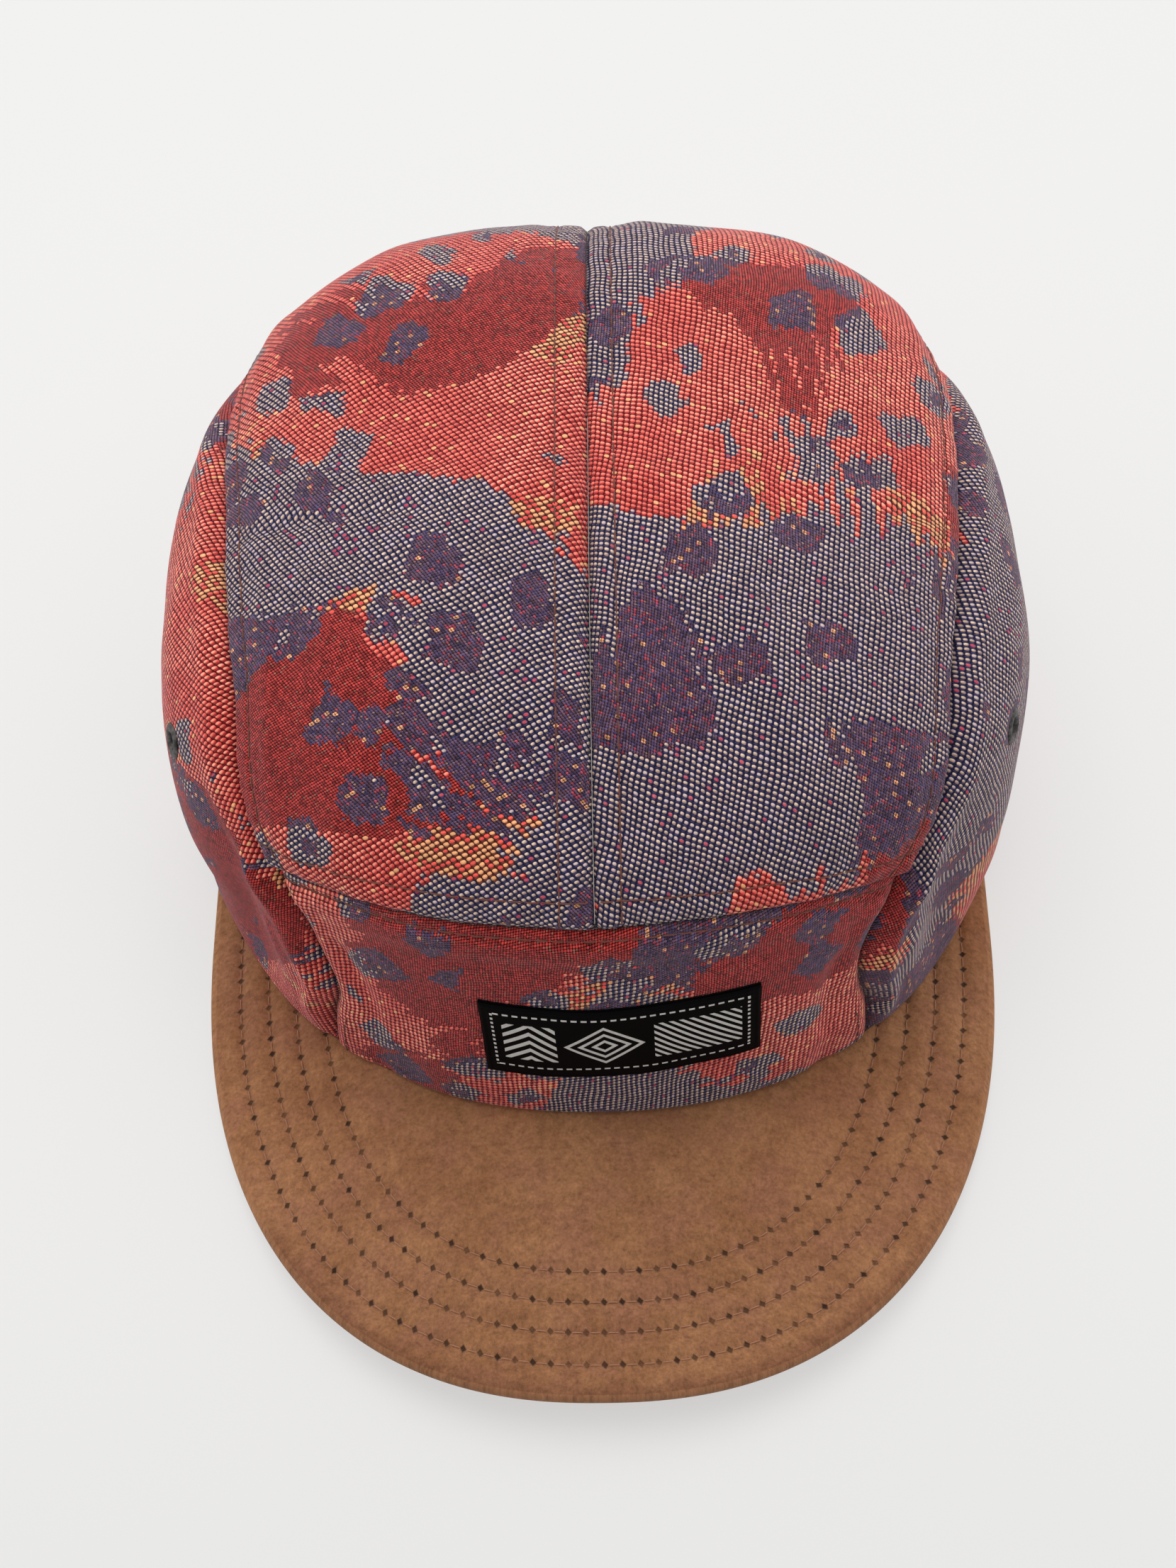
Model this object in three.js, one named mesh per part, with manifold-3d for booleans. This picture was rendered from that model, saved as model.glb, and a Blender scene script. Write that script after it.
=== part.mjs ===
// Five-panel cap: five cloth crown panels, an arched peak, a woven label and two eyelets.
// Millimetres, +Z up, the front of the cap towards -Y. The cap rests on its rim and peak at z = 0.
import * as THREE from 'three';
import Module from 'manifold-3d';

const wasm = await Module();
wasm.setup();

// Driving sizes
const CLOTH = 1.8;
const GAP = 0.3;
const CROWN_HEIGHT = 100;
const CROWN_AXIS_Y = 2;
const PLAN_SQUARENESS = { front: 2.17, back: 2.45 };
const BRIM = {
  halfWidth: 84.5,
  thickness: 3,
  arch: 10,
  rearY: -32,
  pivotY: -45,
  reach: 101.5,
  squareness: 2.3,
  tuck: 8,
};
const RIM_RAMP = { start: 7, length: 11 };
const LABEL = { width: 55, height: 23.5, seenShare: 0.97, thickness: 1, centreX: 4.4, centreZ: 43, tilt: 1.6 };
const EYELET = { angle: 69, height: 65, outerRadius: 3.9, innerRadius: 1.9, length: 2.8, sides: 16 };

// Grid cells of the panels and the peak. Panels that share a seam share its cells.
const CELLS = { height: 12, frontHalf: 12, seam: 40, brimRound: 44, brimAcross: 7, label: 14, labelHeight: 4 };
const REAR_PART = CELLS.height / CELLS.seam;

const table = (columns, rows) =>
  rows.map((row) => Object.fromEntries(columns.map((name, i) => [name, row[i]])));

// Profiles of the seam surface from the rim up to the apex
const PROFILE = {
  front: table(['reach', 'rise'], [
    [91.5, 0], [87.6, 20], [83.6, 40], [80.2, 60], [77.6, 72.5], [72.2, 79.8],
    [61.6, 87.2], [46.8, 93.4], [30, 97.4], [15, 99.4], [0, 100],
  ]),
  side: table(['reach', 'rise'], [
    [88, 0], [86.6, 20], [86.2, 40], [85.4, 52], [83.4, 63], [79.4, 74],
    [72, 83], [60, 90.6], [42, 96.4], [22, 99.2], [0, 100],
  ]),
  back: table(['reach', 'rise'], [
    [94.6, 0], [95.2, 25], [94.6, 45], [92.8, 58], [89.6, 70], [84, 79.5],
    [76, 87], [61.6, 93.6], [42, 97.6], [21, 99.4], [0, 100],
  ]),
};

// Seams on the right half, by angle from straight ahead and height above the table
const SEAM = {
  frontTop: table(['angle', 'height'], [
    [0, 76.4], [9, 76], [17, 74.9], [24, 73.2], [32, 69.8], [38, 66.4], [42, 63.5],
  ]),
  frontSide: table(['angle', 'height'], [
    [38, 0], [37.5, 21.5], [35.5, 33], [34.9, 43], [36.4, 52], [39.4, 58.8], [42, 63.5],
  ]),
  side: table(['angle', 'height'], [
    [42, 63.5], [47, 67.2], [52, 72.4], [58, 77.6], [64.6, 81.5], [73, 83.6], [84, 83.8], [95, 82.6],
    [106, 79], [118, 72.5], [130, 62.5], [140, 49], [148, 33], [155, 15.5], [160, 0],
  ]),
};

// How far each panel swells between its seams, and how sharply it does so beside them
const PILLOW = {
  front: { swell: 1.6, edge: 4 },
  top: { swell: 2.2, edge: 5 },
  side: { swell: 3.4, edge: 3 },
};

// Soft dents and folds: place on the panel, half sizes as shares of the panel, depth (negative swells)
const DENT = {
  front: table(['u', 'v', 'halfU', 'halfV', 'depth'], [
    [0.04, 0.45, 0.05, 0.3, 1.6], [0.96, 0.45, 0.05, 0.3, 1.6], [0.16, 0.2, 0.05, 0.25, 1.2],
    [0.5, 0.99, 0.5, 0.07, -1.0],
  ]),
  top: table(['u', 'v', 'halfU', 'halfV', 'depth'], [
    [0.1, 0.86, 0.05, 0.16, 1.4], [0.42, 0.55, 0.1, 0.3, 1.2], [0.6, 0.35, 0.07, 0.3, -1.3],
    [0.7, 0.75, 0.06, 0.2, 1.4], [0.24, 0.97, 0.12, 0.05, -1.2],
  ]),
  side: table(['u', 'v', 'halfU', 'halfV', 'depth'], [
    [0.05, 0.5, 0.035, 0.3, -2.2], [0.13, 0.35, 0.04, 0.35, 2.6], [0.24, 0.5, 0.05, 0.4, -1.0],
    [0.5, 0.3, 0.09, 0.3, 1.4], [0.78, 0.5, 0.08, 0.3, 1.0],
  ]),
};

const COLOUR = {
  coral: 0xc4553f,
  slate: 0x5d6675,
  plum: 0x6b3a3c,
  suede: 0x8a5433,
  black: 0x1b1a1c,
  metal: 0x4a4744,
};

const degrees = Math.PI / 180;
const signedPower = (x, power) => Math.sign(x) * Math.abs(x) ** power;
const clamp01 = (x) => Math.min(1, Math.max(0, x));

// Cubic through table rows; the knots rise. End slopes follow the end chords unless given.
function cubic(knots, values, endSlope) {
  const n = knots.length;
  const chord = (i) => (values[i + 1] - values[i]) / (knots[i + 1] - knots[i]);
  const slope = values.map((_, i) => {
    if (i === 0) return chord(0);
    if (i === n - 1) return endSlope ?? chord(n - 2);
    const before = knots[i] - knots[i - 1];
    const after = knots[i + 1] - knots[i];
    return (chord(i - 1) * after + chord(i) * before) / (before + after);
  });
  return (x) => {
    let i = 0;
    while (i < n - 2 && x > knots[i + 1]) i += 1;
    const span = knots[i + 1] - knots[i];
    const t = clamp01((x - knots[i]) / span);
    const a = (1 + 2 * t) * (1 - t) ** 2;
    const b = t * (1 - t) ** 2;
    const c = t * t * (3 - 2 * t);
    const d = t * t * (t - 1);
    return a * values[i] + b * span * slope[i] + c * values[i + 1] + d * span * slope[i + 1];
  };
}

function runningLength(points) {
  const length = [0];
  for (let i = 1; i < points.length; i += 1) {
    length.push(length[i - 1] + points[i].distanceTo(points[i - 1]));
  }
  return length.map((value) => value / length[length.length - 1]);
}

// A profile by its share of arc: 0 at the rim and 1 at the apex
function profileCurve(rows) {
  const share = runningLength(rows.map((row) => new THREE.Vector2(row.reach, row.rise)));
  const reach = cubic(share, rows.map((row) => row.reach));
  const rise = cubic(share, rows.map((row) => row.rise), 0);
  return { reach, rise };
}
const FRONT = profileCurve(PROFILE.front);
const SIDE = profileCurve(PROFILE.side);
const BACK = profileCurve(PROFILE.back);

const brimTop = (x) => BRIM.thickness + BRIM.arch * Math.max(0, 1 - (x / BRIM.halfWidth) ** 2);

// The crown's rim stands on the peak in front and on the table behind it
function rimHeight(x, y) {
  const onBrim = clamp01((BRIM.rearY + RIM_RAMP.start + RIM_RAMP.length - y) / RIM_RAMP.length);
  const blend = onBrim * onBrim * (3 - 2 * onBrim);
  return (brimTop(x) + GAP) * blend;
}

// The seam surface over a unit disc: the centre is the apex, the edge is the rim, -q is the front
function seamSurface(p, q) {
  const radius = Math.min(1, Math.hypot(p, q));
  const sine = radius > 1e-9 ? p / Math.hypot(p, q) : 0;
  const cosine = radius > 1e-9 ? -q / Math.hypot(p, q) : 1;
  const power = 2 / (cosine > 0 ? PLAN_SQUARENESS.front : PLAN_SQUARENESS.back);
  const share = 1 - radius;
  const along = cosine > 0 ? FRONT : BACK;
  const sideways = signedPower(sine, power);
  const forward = signedPower(cosine, power);
  const x = SIDE.reach(share) * sideways;
  const y = CROWN_AXIS_Y - along.reach(share) * forward;
  const rise = along.rise(share) * cosine ** 2 + SIDE.rise(share) * sine ** 2;
  const foot = rimHeight(SIDE.reach(0) * sideways, CROWN_AXIS_Y - along.reach(0) * forward);
  return new THREE.Vector3(x, y, foot + rise * (1 - foot / CROWN_HEIGHT));
}

function surfaceNormal(p, q) {
  const step = 2e-3;
  const radius = Math.hypot(p, q);
  const scale = radius > 1 - 2 * step ? (1 - 2 * step) / radius : 1;
  const [a, b] = [p * scale, q * scale];
  const alongP = seamSurface(a + step, b).sub(seamSurface(a - step, b));
  const alongQ = seamSurface(a, b + step).sub(seamSurface(a, b - step));
  const normal = alongP.cross(alongQ).normalize();
  if (radius > 1 - 1e-6) normal.setZ(0).normalize();
  return normal;
}

// Disc place of a point of the surface, by angle and height above the table
function discPlace(angle, height) {
  const direction = new THREE.Vector2(Math.sin(angle * degrees), -Math.cos(angle * degrees));
  let low = 0;
  let high = 1;
  for (let i = 0; i < 40; i += 1) {
    const middle = (low + high) / 2;
    if (seamSurface(direction.x * middle, direction.y * middle).z > height) low = middle;
    else high = middle;
  }
  return direction.multiplyScalar(high > 1 - 1e-9 ? 1 : high);
}

// A seam as an even curve of disc places, from 0 to 1 along its real length
function seamCurve(rows) {
  const angleAt = cubic(rows.map((_, i) => i), rows.map((row) => row.angle));
  const heightAt = cubic(rows.map((_, i) => i), rows.map((row) => row.height));
  const fine = (rows.length - 1) * 12;
  const places = [];
  for (let i = 0; i <= fine; i += 1) {
    const at = (i * (rows.length - 1)) / fine;
    places.push(discPlace(angleAt(at), heightAt(at)));
  }
  const share = runningLength(places.map((place) => seamSurface(place.x, place.y)));
  const p = cubic(share, places.map((place) => place.x));
  const q = cubic(share, places.map((place) => place.y));
  return (t) => new THREE.Vector2(p(t), q(t));
}
const rimArc = (fromAngle, toAngle) => (t) => {
  const angle = (fromAngle + (toAngle - fromAngle) * t) * degrees;
  return new THREE.Vector2(Math.sin(angle), -Math.cos(angle));
};
const mirrored = (curve) => (t) => curve(t).multiply(new THREE.Vector2(-1, 1));

const frontTop = seamCurve(SEAM.frontTop);
const frontSide = seamCurve(SEAM.frontSide);
const sideSeam = seamCurve(SEAM.side);
const frontFoot = SEAM.frontSide[0].angle;
const rearFoot = SEAM.side[SEAM.side.length - 1].angle;
const frontTopCentre = frontTop(0);
const centreSeam = (t) => frontTopCentre.clone().lerp(new THREE.Vector2(0, 1), t);

// Each panel has four edges. A seam edge is drawn in by half the gap, a rim edge is not.
const PANEL = {
  front: {
    cells: [2 * CELLS.frontHalf, CELLS.height],
    low: rimArc(-frontFoot, frontFoot),
    high: (t) => (t < 0.5 ? mirrored(frontTop)(1 - 2 * t) : frontTop(2 * t - 1)),
    start: mirrored(frontSide),
    end: frontSide,
    seams: { low: false, high: true, start: true, end: true },
  },
  top: {
    cells: [CELLS.seam, CELLS.frontHalf],
    low: sideSeam,
    high: centreSeam,
    start: (t) => frontTop(1 - t),
    end: rimArc(rearFoot, 180),
    seams: { low: true, high: true, start: true, end: false },
  },
  side: {
    cells: [CELLS.seam - CELLS.height, CELLS.height],
    low: rimArc(frontFoot, rearFoot),
    high: (t) => sideSeam(t * (1 - REAR_PART)),
    start: frontSide,
    end: (t) => sideSeam(1 - t * REAR_PART),
    seams: { low: false, high: true, start: true, end: true },
  },
};

// Blend of the four edges: a disc place for each share of the panel
function patch(panel, u, v) {
  const across = panel.low(u).multiplyScalar(1 - v).add(panel.high(u).multiplyScalar(v));
  const along = panel.start(v).multiplyScalar(1 - u).add(panel.end(v).multiplyScalar(u));
  const corners = panel.low(0).multiplyScalar((1 - u) * (1 - v))
    .add(panel.low(1).multiplyScalar(u * (1 - v)))
    .add(panel.high(0).multiplyScalar((1 - u) * v))
    .add(panel.high(1).multiplyScalar(u * v));
  return across.add(along).sub(corners);
}

// How far the cloth stands off the seam surface
function clothOffset(name, u, v) {
  const { swell, edge } = PILLOW[name];
  const rise = (t) => 1 - Math.abs(2 * t - 1) ** edge;
  const inside = rise(u) * rise(v);
  const dents = DENT[name].reduce((sum, dent) => {
    const far = ((u - dent.u) / dent.halfU) ** 2 + ((v - dent.v) / dent.halfV) ** 2;
    return sum + dent.depth * Math.exp(-far);
  }, 0);
  return swell * inside - dents * Math.min(1, 3 * inside);
}

function clothPoint(name, u, v, lift = 0) {
  const place = patch(PANEL[name], u, v);
  const normal = surfaceNormal(place.x, place.y);
  const point = seamSurface(place.x, place.y).addScaledVector(normal, clothOffset(name, u, v) + lift);
  return { point, normal };
}

// Closed solid from two matching grids of points, outer and inner
function gridSolid(outer, inner, flip = false) {
  const rows = outer.length;
  const columns = outer[0].length;
  const positions = [...outer.flat(), ...inner.flat()].flatMap((point) => point.toArray());
  const place = (layer, i, j) => layer * rows * columns + i * columns + j;
  const triangles = [];
  const quad = (a, b, c, d) => {
    if (flip) triangles.push(a, c, b, a, d, c);
    else triangles.push(a, b, c, a, c, d);
  };
  for (let i = 0; i < rows - 1; i += 1) {
    for (let j = 0; j < columns - 1; j += 1) {
      quad(place(0, i, j), place(0, i + 1, j), place(0, i + 1, j + 1), place(0, i, j + 1));
      quad(place(1, i, j), place(1, i, j + 1), place(1, i + 1, j + 1), place(1, i + 1, j));
    }
  }
  for (let i = 0; i < rows - 1; i += 1) {
    const last = columns - 1;
    quad(place(0, i, 0), place(1, i, 0), place(1, i + 1, 0), place(0, i + 1, 0));
    quad(place(0, i + 1, last), place(1, i + 1, last), place(1, i, last), place(0, i, last));
  }
  for (let j = 0; j < columns - 1; j += 1) {
    const last = rows - 1;
    quad(place(0, 0, j + 1), place(1, 0, j + 1), place(1, 0, j), place(0, 0, j));
    quad(place(0, last, j), place(1, last, j), place(1, last, j + 1), place(0, last, j + 1));
  }
  const geometry = new THREE.BufferGeometry();
  geometry.setAttribute('position', new THREE.BufferAttribute(new Float32Array(positions), 3));
  geometry.setIndex(triangles);
  return geometry;
}

// A panel's wall, drawn in along its seam edges by half the gap
function panelSolid(name, mirror) {
  const panel = PANEL[name];
  const [cellsU, cellsV] = panel.cells;
  const base = [];
  for (let i = 0; i <= cellsU; i += 1) {
    base.push([]);
    for (let j = 0; j <= cellsV; j += 1) {
      const u = i / cellsU;
      const v = j / cellsV;
      const place = patch(panel, u, v);
      const normal = surfaceNormal(place.x, place.y);
      const offset = clothOffset(name, u, v);
      base[i].push({ point: seamSurface(place.x, place.y), normal, offset, shift: new THREE.Vector3() });
    }
  }
  const drawIn = (cell, before, after, inside) => {
    const tangent = after.point.clone().sub(before.point);
    const inward = tangent.cross(cell.normal).normalize();
    if (inward.dot(inside.point.clone().sub(cell.point)) < 0) inward.negate();
    cell.shift.addScaledVector(inward, 0.55 * GAP);
  };
  for (let i = 0; i <= cellsU; i += 1) {
    const before = Math.max(0, i - 1);
    const after = Math.min(cellsU, i + 1);
    if (panel.seams.low) drawIn(base[i][0], base[before][0], base[after][0], base[i][1]);
    if (panel.seams.high) {
      drawIn(base[i][cellsV], base[before][cellsV], base[after][cellsV], base[i][cellsV - 1]);
    }
  }
  for (let j = 0; j <= cellsV; j += 1) {
    const before = Math.max(0, j - 1);
    const after = Math.min(cellsV, j + 1);
    if (panel.seams.start) drawIn(base[0][j], base[0][before], base[0][after], base[1][j]);
    if (panel.seams.end) {
      drawIn(base[cellsU][j], base[cellsU][before], base[cellsU][after], base[cellsU - 1][j]);
    }
  }
  const side = new THREE.Vector3(mirror ? -1 : 1, 1, 1);
  const layer = (depth) => base.map((line) => line.map((cell) => {
    const point = cell.point.clone().add(cell.shift);
    point.addScaledVector(cell.normal, cell.offset - depth);
    if (cell.normal.z === 0) point.setZ(rimHeight(point.x, point.y));
    return point.multiply(side);
  }));
  return gridSolid(layer(0), layer(CLOTH), mirror);
}

// Solids as manifolds, to cut the eyelet holes
function toManifold(geometry) {
  const vertProperties = geometry.getAttribute('position').array;
  const triVerts = new Uint32Array(geometry.getIndex().array);
  return new wasm.Manifold(new wasm.Mesh({ numProp: 3, vertProperties, triVerts }));
}

function toGeometry(solid) {
  const mesh = solid.getMesh();
  const geometry = new THREE.BufferGeometry();
  geometry.setAttribute('position', new THREE.BufferAttribute(new Float32Array(mesh.vertProperties), 3));
  geometry.setIndex([...mesh.triVerts]);
  return geometry;
}

// The eyelet's frame: its axis is the wall's normal at the middle of the cloth
function eyeletFrame(mirror) {
  const place = discPlace(EYELET.angle, EYELET.height);
  const normal = surfaceNormal(place.x, place.y);
  const [u, v] = findOnPanel('side', (point) => [point.y, point.z], [
    seamSurface(place.x, place.y).y, EYELET.height,
  ]);
  const centre = clothPoint('side', u, v, -CLOTH / 2).point;
  const side = new THREE.Vector3(mirror ? -1 : 1, 1, 1);
  const turn = new THREE.Quaternion().setFromUnitVectors(new THREE.Vector3(0, 1, 0), normal.multiply(side));
  return new THREE.Matrix4().compose(centre.multiply(side), turn, new THREE.Vector3(1, 1, 1));
}

// Panel shares where two measures of the cloth's outside take the wanted values
function findOnPanel(name, measure, wanted) {
  let u = 0.5;
  let v = 0.5;
  const step = 1e-3;
  const at = (a, b) => measure(clothPoint(name, a, b).point);
  for (let i = 0; i < 12; i += 1) {
    const [m, n] = at(u, v);
    const [mu, nu] = at(u + step, v).map((value, k) => (value - [m, n][k]) / step);
    const [mv, nv] = at(u, v + step).map((value, k) => (value - [m, n][k]) / step);
    const spread = mu * nv - mv * nu;
    const errorM = wanted[0] - m;
    const errorN = wanted[1] - n;
    u = Math.min(0.99, Math.max(0.01, u + (errorM * nv - errorN * mv) / spread));
    v = Math.min(0.99, Math.max(0.01, v + (errorN * mu - errorM * nu) / spread));
  }
  return [u, v];
}

function sidePanel(mirror) {
  const frame = eyeletFrame(mirror);
  const radius = EYELET.outerRadius + GAP;
  const hole = wasm.Manifold.cylinder(12, radius, radius, EYELET.sides, true)
    .rotate([-90, 0, 0])
    .transform(frame.elements);
  return toGeometry(toManifold(panelSolid('side', mirror)).subtract(hole));
}

function eyelet(mirror) {
  const half = EYELET.length / 2;
  const { outerRadius: outer, innerRadius: inner } = EYELET;
  const bevel = 0.6;
  const profile = [
    [inner, -half + bevel], [inner + bevel, -half], [outer - bevel, -half], [outer, -half + bevel],
    [outer, half - bevel], [outer - bevel, half], [inner + bevel, half], [inner, half - bevel],
  ];
  const positions = [];
  const triangles = [];
  const ring = profile.length;
  for (let i = 0; i < EYELET.sides; i += 1) {
    const turn = (2 * Math.PI * i) / EYELET.sides;
    profile.forEach(([radius, y]) => positions.push(radius * Math.cos(turn), y, radius * Math.sin(turn)));
    for (let j = 0; j < ring; j += 1) {
      const here = i * ring;
      const next = ((i + 1) % EYELET.sides) * ring;
      const up = (j + 1) % ring;
      triangles.push(here + j, here + up, next + up, here + j, next + up, next + j);
    }
  }
  const geometry = new THREE.BufferGeometry();
  geometry.setAttribute('position', new THREE.BufferAttribute(new Float32Array(positions), 3));
  geometry.setIndex(triangles);
  return geometry.applyMatrix4(eyeletFrame(mirror));
}

// The label follows the outside of the front panel. Seen from the front it is a tilted rectangle.
function labelSolid() {
  const tilt = LABEL.tilt * degrees;
  const seenWidth = LABEL.width * LABEL.seenShare;
  const seenHeight = LABEL.height * LABEL.seenShare;
  const shares = Array.from({ length: CELLS.label + 1 }, (_, i) => {
    const across = seenWidth * (i / CELLS.label - 0.5);
    return Array.from({ length: CELLS.labelHeight + 1 }, (__, j) => {
      const up = seenHeight * (j / CELLS.labelHeight - 0.5);
      const x = LABEL.centreX + across * Math.cos(tilt) - up * Math.sin(tilt);
      const z = LABEL.centreZ + up * Math.cos(tilt) + across * Math.sin(tilt);
      return findOnPanel('front', (point) => [point.x, point.z], [x, z]);
    });
  });
  const layer = (lift) => shares.map((line) => line.map(([u, v]) => clothPoint('front', u, v, lift).point));
  return gridSolid(layer(GAP + LABEL.thickness), layer(GAP));
}

// The peak's outer edge by angle round its pivot; straight beside the crown
function brimEdge(angle) {
  const side = Math.sign(angle);
  const turn = Math.min(Math.abs(angle), 90) * degrees;
  const power = 2 / BRIM.squareness;
  const x = BRIM.halfWidth * signedPower(Math.sin(turn), power);
  const y = BRIM.pivotY - BRIM.reach * signedPower(Math.max(0, Math.cos(turn)), power);
  const beyond = Math.max(0, Math.abs(angle) - 90);
  return new THREE.Vector2(side * x, y + beyond);
}

function brimSolid() {
  const widest = 90 + BRIM.rearY - BRIM.pivotY;
  const innerWidest = 68;
  const outer = [];
  const inner = [];
  for (let i = 0; i <= CELLS.brimRound; i += 1) {
    const share = (2 * i) / CELLS.brimRound - 1;
    const eased = share * (0.72 + 0.28 * share * share);
    const edge = brimEdge(widest * eased);
    const rimPlace = rimArc(0, innerWidest * share)(1);
    const rim = seamSurface(rimPlace.x, rimPlace.y);
    const inward = surfaceNormal(rimPlace.x, rimPlace.y);
    const root = new THREE.Vector2(rim.x - inward.x * BRIM.tuck, rim.y - inward.y * BRIM.tuck);
    const top = [];
    const under = [];
    for (let j = 0; j <= CELLS.brimAcross; j += 1) {
      const place = root.clone().lerp(edge, j / CELLS.brimAcross);
      const height = brimTop(place.x);
      top.push(new THREE.Vector3(place.x, place.y, height));
      under.push(new THREE.Vector3(place.x, place.y, height - BRIM.thickness));
    }
    outer.push(top);
    inner.push(under);
  }
  return gridSolid(outer, inner, true);
}

const group = new THREE.Group();
function addPiece(name, geometry, colour, roughness = 0.9, metalness = 0) {
  geometry.computeVertexNormals();
  const material = new THREE.MeshStandardMaterial({ color: colour, roughness, metalness });
  material.name = `${name}_finish`;
  const mesh = new THREE.Mesh(geometry, material);
  mesh.name = name;
  group.add(mesh);
}

addPiece('front_panel', panelSolid('front', false), COLOUR.coral);
addPiece('top_panel_left', panelSolid('top', true), COLOUR.slate);
addPiece('top_panel_right', panelSolid('top', false), COLOUR.coral);
addPiece('side_panel_left', sidePanel(true), COLOUR.plum);
addPiece('side_panel_right', sidePanel(false), COLOUR.slate);
addPiece('brim', brimSolid(), COLOUR.suede);
addPiece('label', labelSolid(), COLOUR.black);
addPiece('eyelet_left', eyelet(true), COLOUR.metal, 0.5, 0.6);
addPiece('eyelet_right', eyelet(false), COLOUR.metal, 0.5, 0.6);

// The origin goes to the middle of the footprint
const bounds = new THREE.Box3().setFromObject(group);
const middle = bounds.getCenter(new THREE.Vector3());
group.children.forEach((mesh) => mesh.geometry.translate(-middle.x, -middle.y, -bounds.min.z));

export default group;
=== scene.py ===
# Five-panel cap: woven cloth crown, stitched suede peak, small woven label and side eyelets.
# Sizes are in millimetres until a mesh is made. +Z is up and the peak points towards -Y.
import math

import bpy
import numpy as np
from mathutils import Matrix, Vector, kdtree, noise


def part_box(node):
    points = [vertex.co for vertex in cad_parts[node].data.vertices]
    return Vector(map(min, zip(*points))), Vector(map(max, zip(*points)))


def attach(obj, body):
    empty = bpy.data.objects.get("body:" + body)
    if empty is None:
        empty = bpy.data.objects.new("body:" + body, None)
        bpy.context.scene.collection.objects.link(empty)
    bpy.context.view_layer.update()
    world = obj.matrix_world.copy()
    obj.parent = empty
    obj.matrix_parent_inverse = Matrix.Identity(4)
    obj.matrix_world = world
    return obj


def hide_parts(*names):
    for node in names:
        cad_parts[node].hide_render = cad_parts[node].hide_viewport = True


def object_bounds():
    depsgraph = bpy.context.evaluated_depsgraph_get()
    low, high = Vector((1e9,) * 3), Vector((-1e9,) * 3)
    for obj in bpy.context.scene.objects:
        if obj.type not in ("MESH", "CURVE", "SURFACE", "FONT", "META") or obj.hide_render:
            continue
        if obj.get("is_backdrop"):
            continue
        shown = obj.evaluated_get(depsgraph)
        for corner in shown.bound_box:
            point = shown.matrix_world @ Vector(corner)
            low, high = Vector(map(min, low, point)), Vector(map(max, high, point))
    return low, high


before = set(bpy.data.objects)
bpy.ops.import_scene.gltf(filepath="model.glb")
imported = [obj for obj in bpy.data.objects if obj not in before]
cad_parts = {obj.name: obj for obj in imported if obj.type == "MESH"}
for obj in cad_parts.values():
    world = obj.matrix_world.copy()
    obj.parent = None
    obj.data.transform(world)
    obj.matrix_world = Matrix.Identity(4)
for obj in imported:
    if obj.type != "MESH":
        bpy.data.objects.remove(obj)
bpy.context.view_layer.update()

MM = 0.001

# Driving sizes of the crown and the peak
CLOTH = 1.8
PANEL_GAP = 0.08
CROWN_HEIGHT = 100.0
CROWN_AXIS_Y = 2.0
SQUARE_FRONT = 2.17
SQUARE_BACK = 2.45
BRIM_HALF_WIDTH = 84.5
BRIM_THICKNESS = 3.0
BRIM_ARCH = 10.0
BRIM_REAR_Y = -32.0
BRIM_PIVOT_Y = -45.0
BRIM_REACH = 101.5
BRIM_SQUARENESS = 2.3
BRIM_TUCK = 8.0
BRIM_INNER_WIDEST = 68.0
BRIM_LIFT = 0.3
RAMP_START = 7.0
RAMP_LENGTH = 11.0

# Profiles of the seam surface from the rim up to the apex: reach, rise
FRONT_PROFILE = [
    (91.5, 0), (87.6, 20), (83.6, 40), (80.2, 60), (77.6, 72.5), (72.2, 79.8),
    (61.6, 87.2), (46.8, 93.4), (30, 97.4), (15, 99.4), (0, 100),
]
SIDE_PROFILE = [
    (88, 0), (86.6, 20), (86.2, 40), (85.4, 52), (83.4, 63), (79.4, 74),
    (72, 83), (60, 90.6), (42, 96.4), (22, 99.2), (0, 100),
]
BACK_PROFILE = [
    (94.6, 0), (95.2, 25), (94.6, 45), (92.8, 58), (89.6, 70), (84, 79.5),
    (76, 87), (61.6, 93.6), (42, 97.6), (21, 99.4), (0, 100),
]

# Seams on the right half: angle from straight ahead, height above the table
FRONT_TOP_SEAM = [(0, 76.4), (9, 76), (17, 74.9), (24, 73.2), (32, 69.8), (38, 66.4), (42, 63.5)]
FRONT_SIDE_SEAM = [(38, 0), (37.5, 21.5), (35.5, 33), (34.9, 43), (36.4, 52), (39.4, 58.8), (42, 63.5)]
SIDE_SEAM = [
    (42, 63.5), (47, 67.2), (52, 72.4), (58, 77.6), (64.6, 81.5), (73, 83.6), (84, 83.8), (95, 82.6),
    (106, 79), (118, 72.5), (130, 62.5), (140, 49), (148, 33), (155, 15.5), (160, 0),
]
FRONT_FOOT = FRONT_SIDE_SEAM[0][0]
REAR_FOOT = SIDE_SEAM[-1][0]
REAR_PART = 0.3

# How far each panel swells, how sharply it does so beside its seams, and its fine cells
PILLOW = {"front": (1.6, 4), "top": (2.2, 5), "side": (3.4, 3)}
FINE_CELLS = {"front": (150, 84), "top": (270, 96), "side": (230, 78)}

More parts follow.
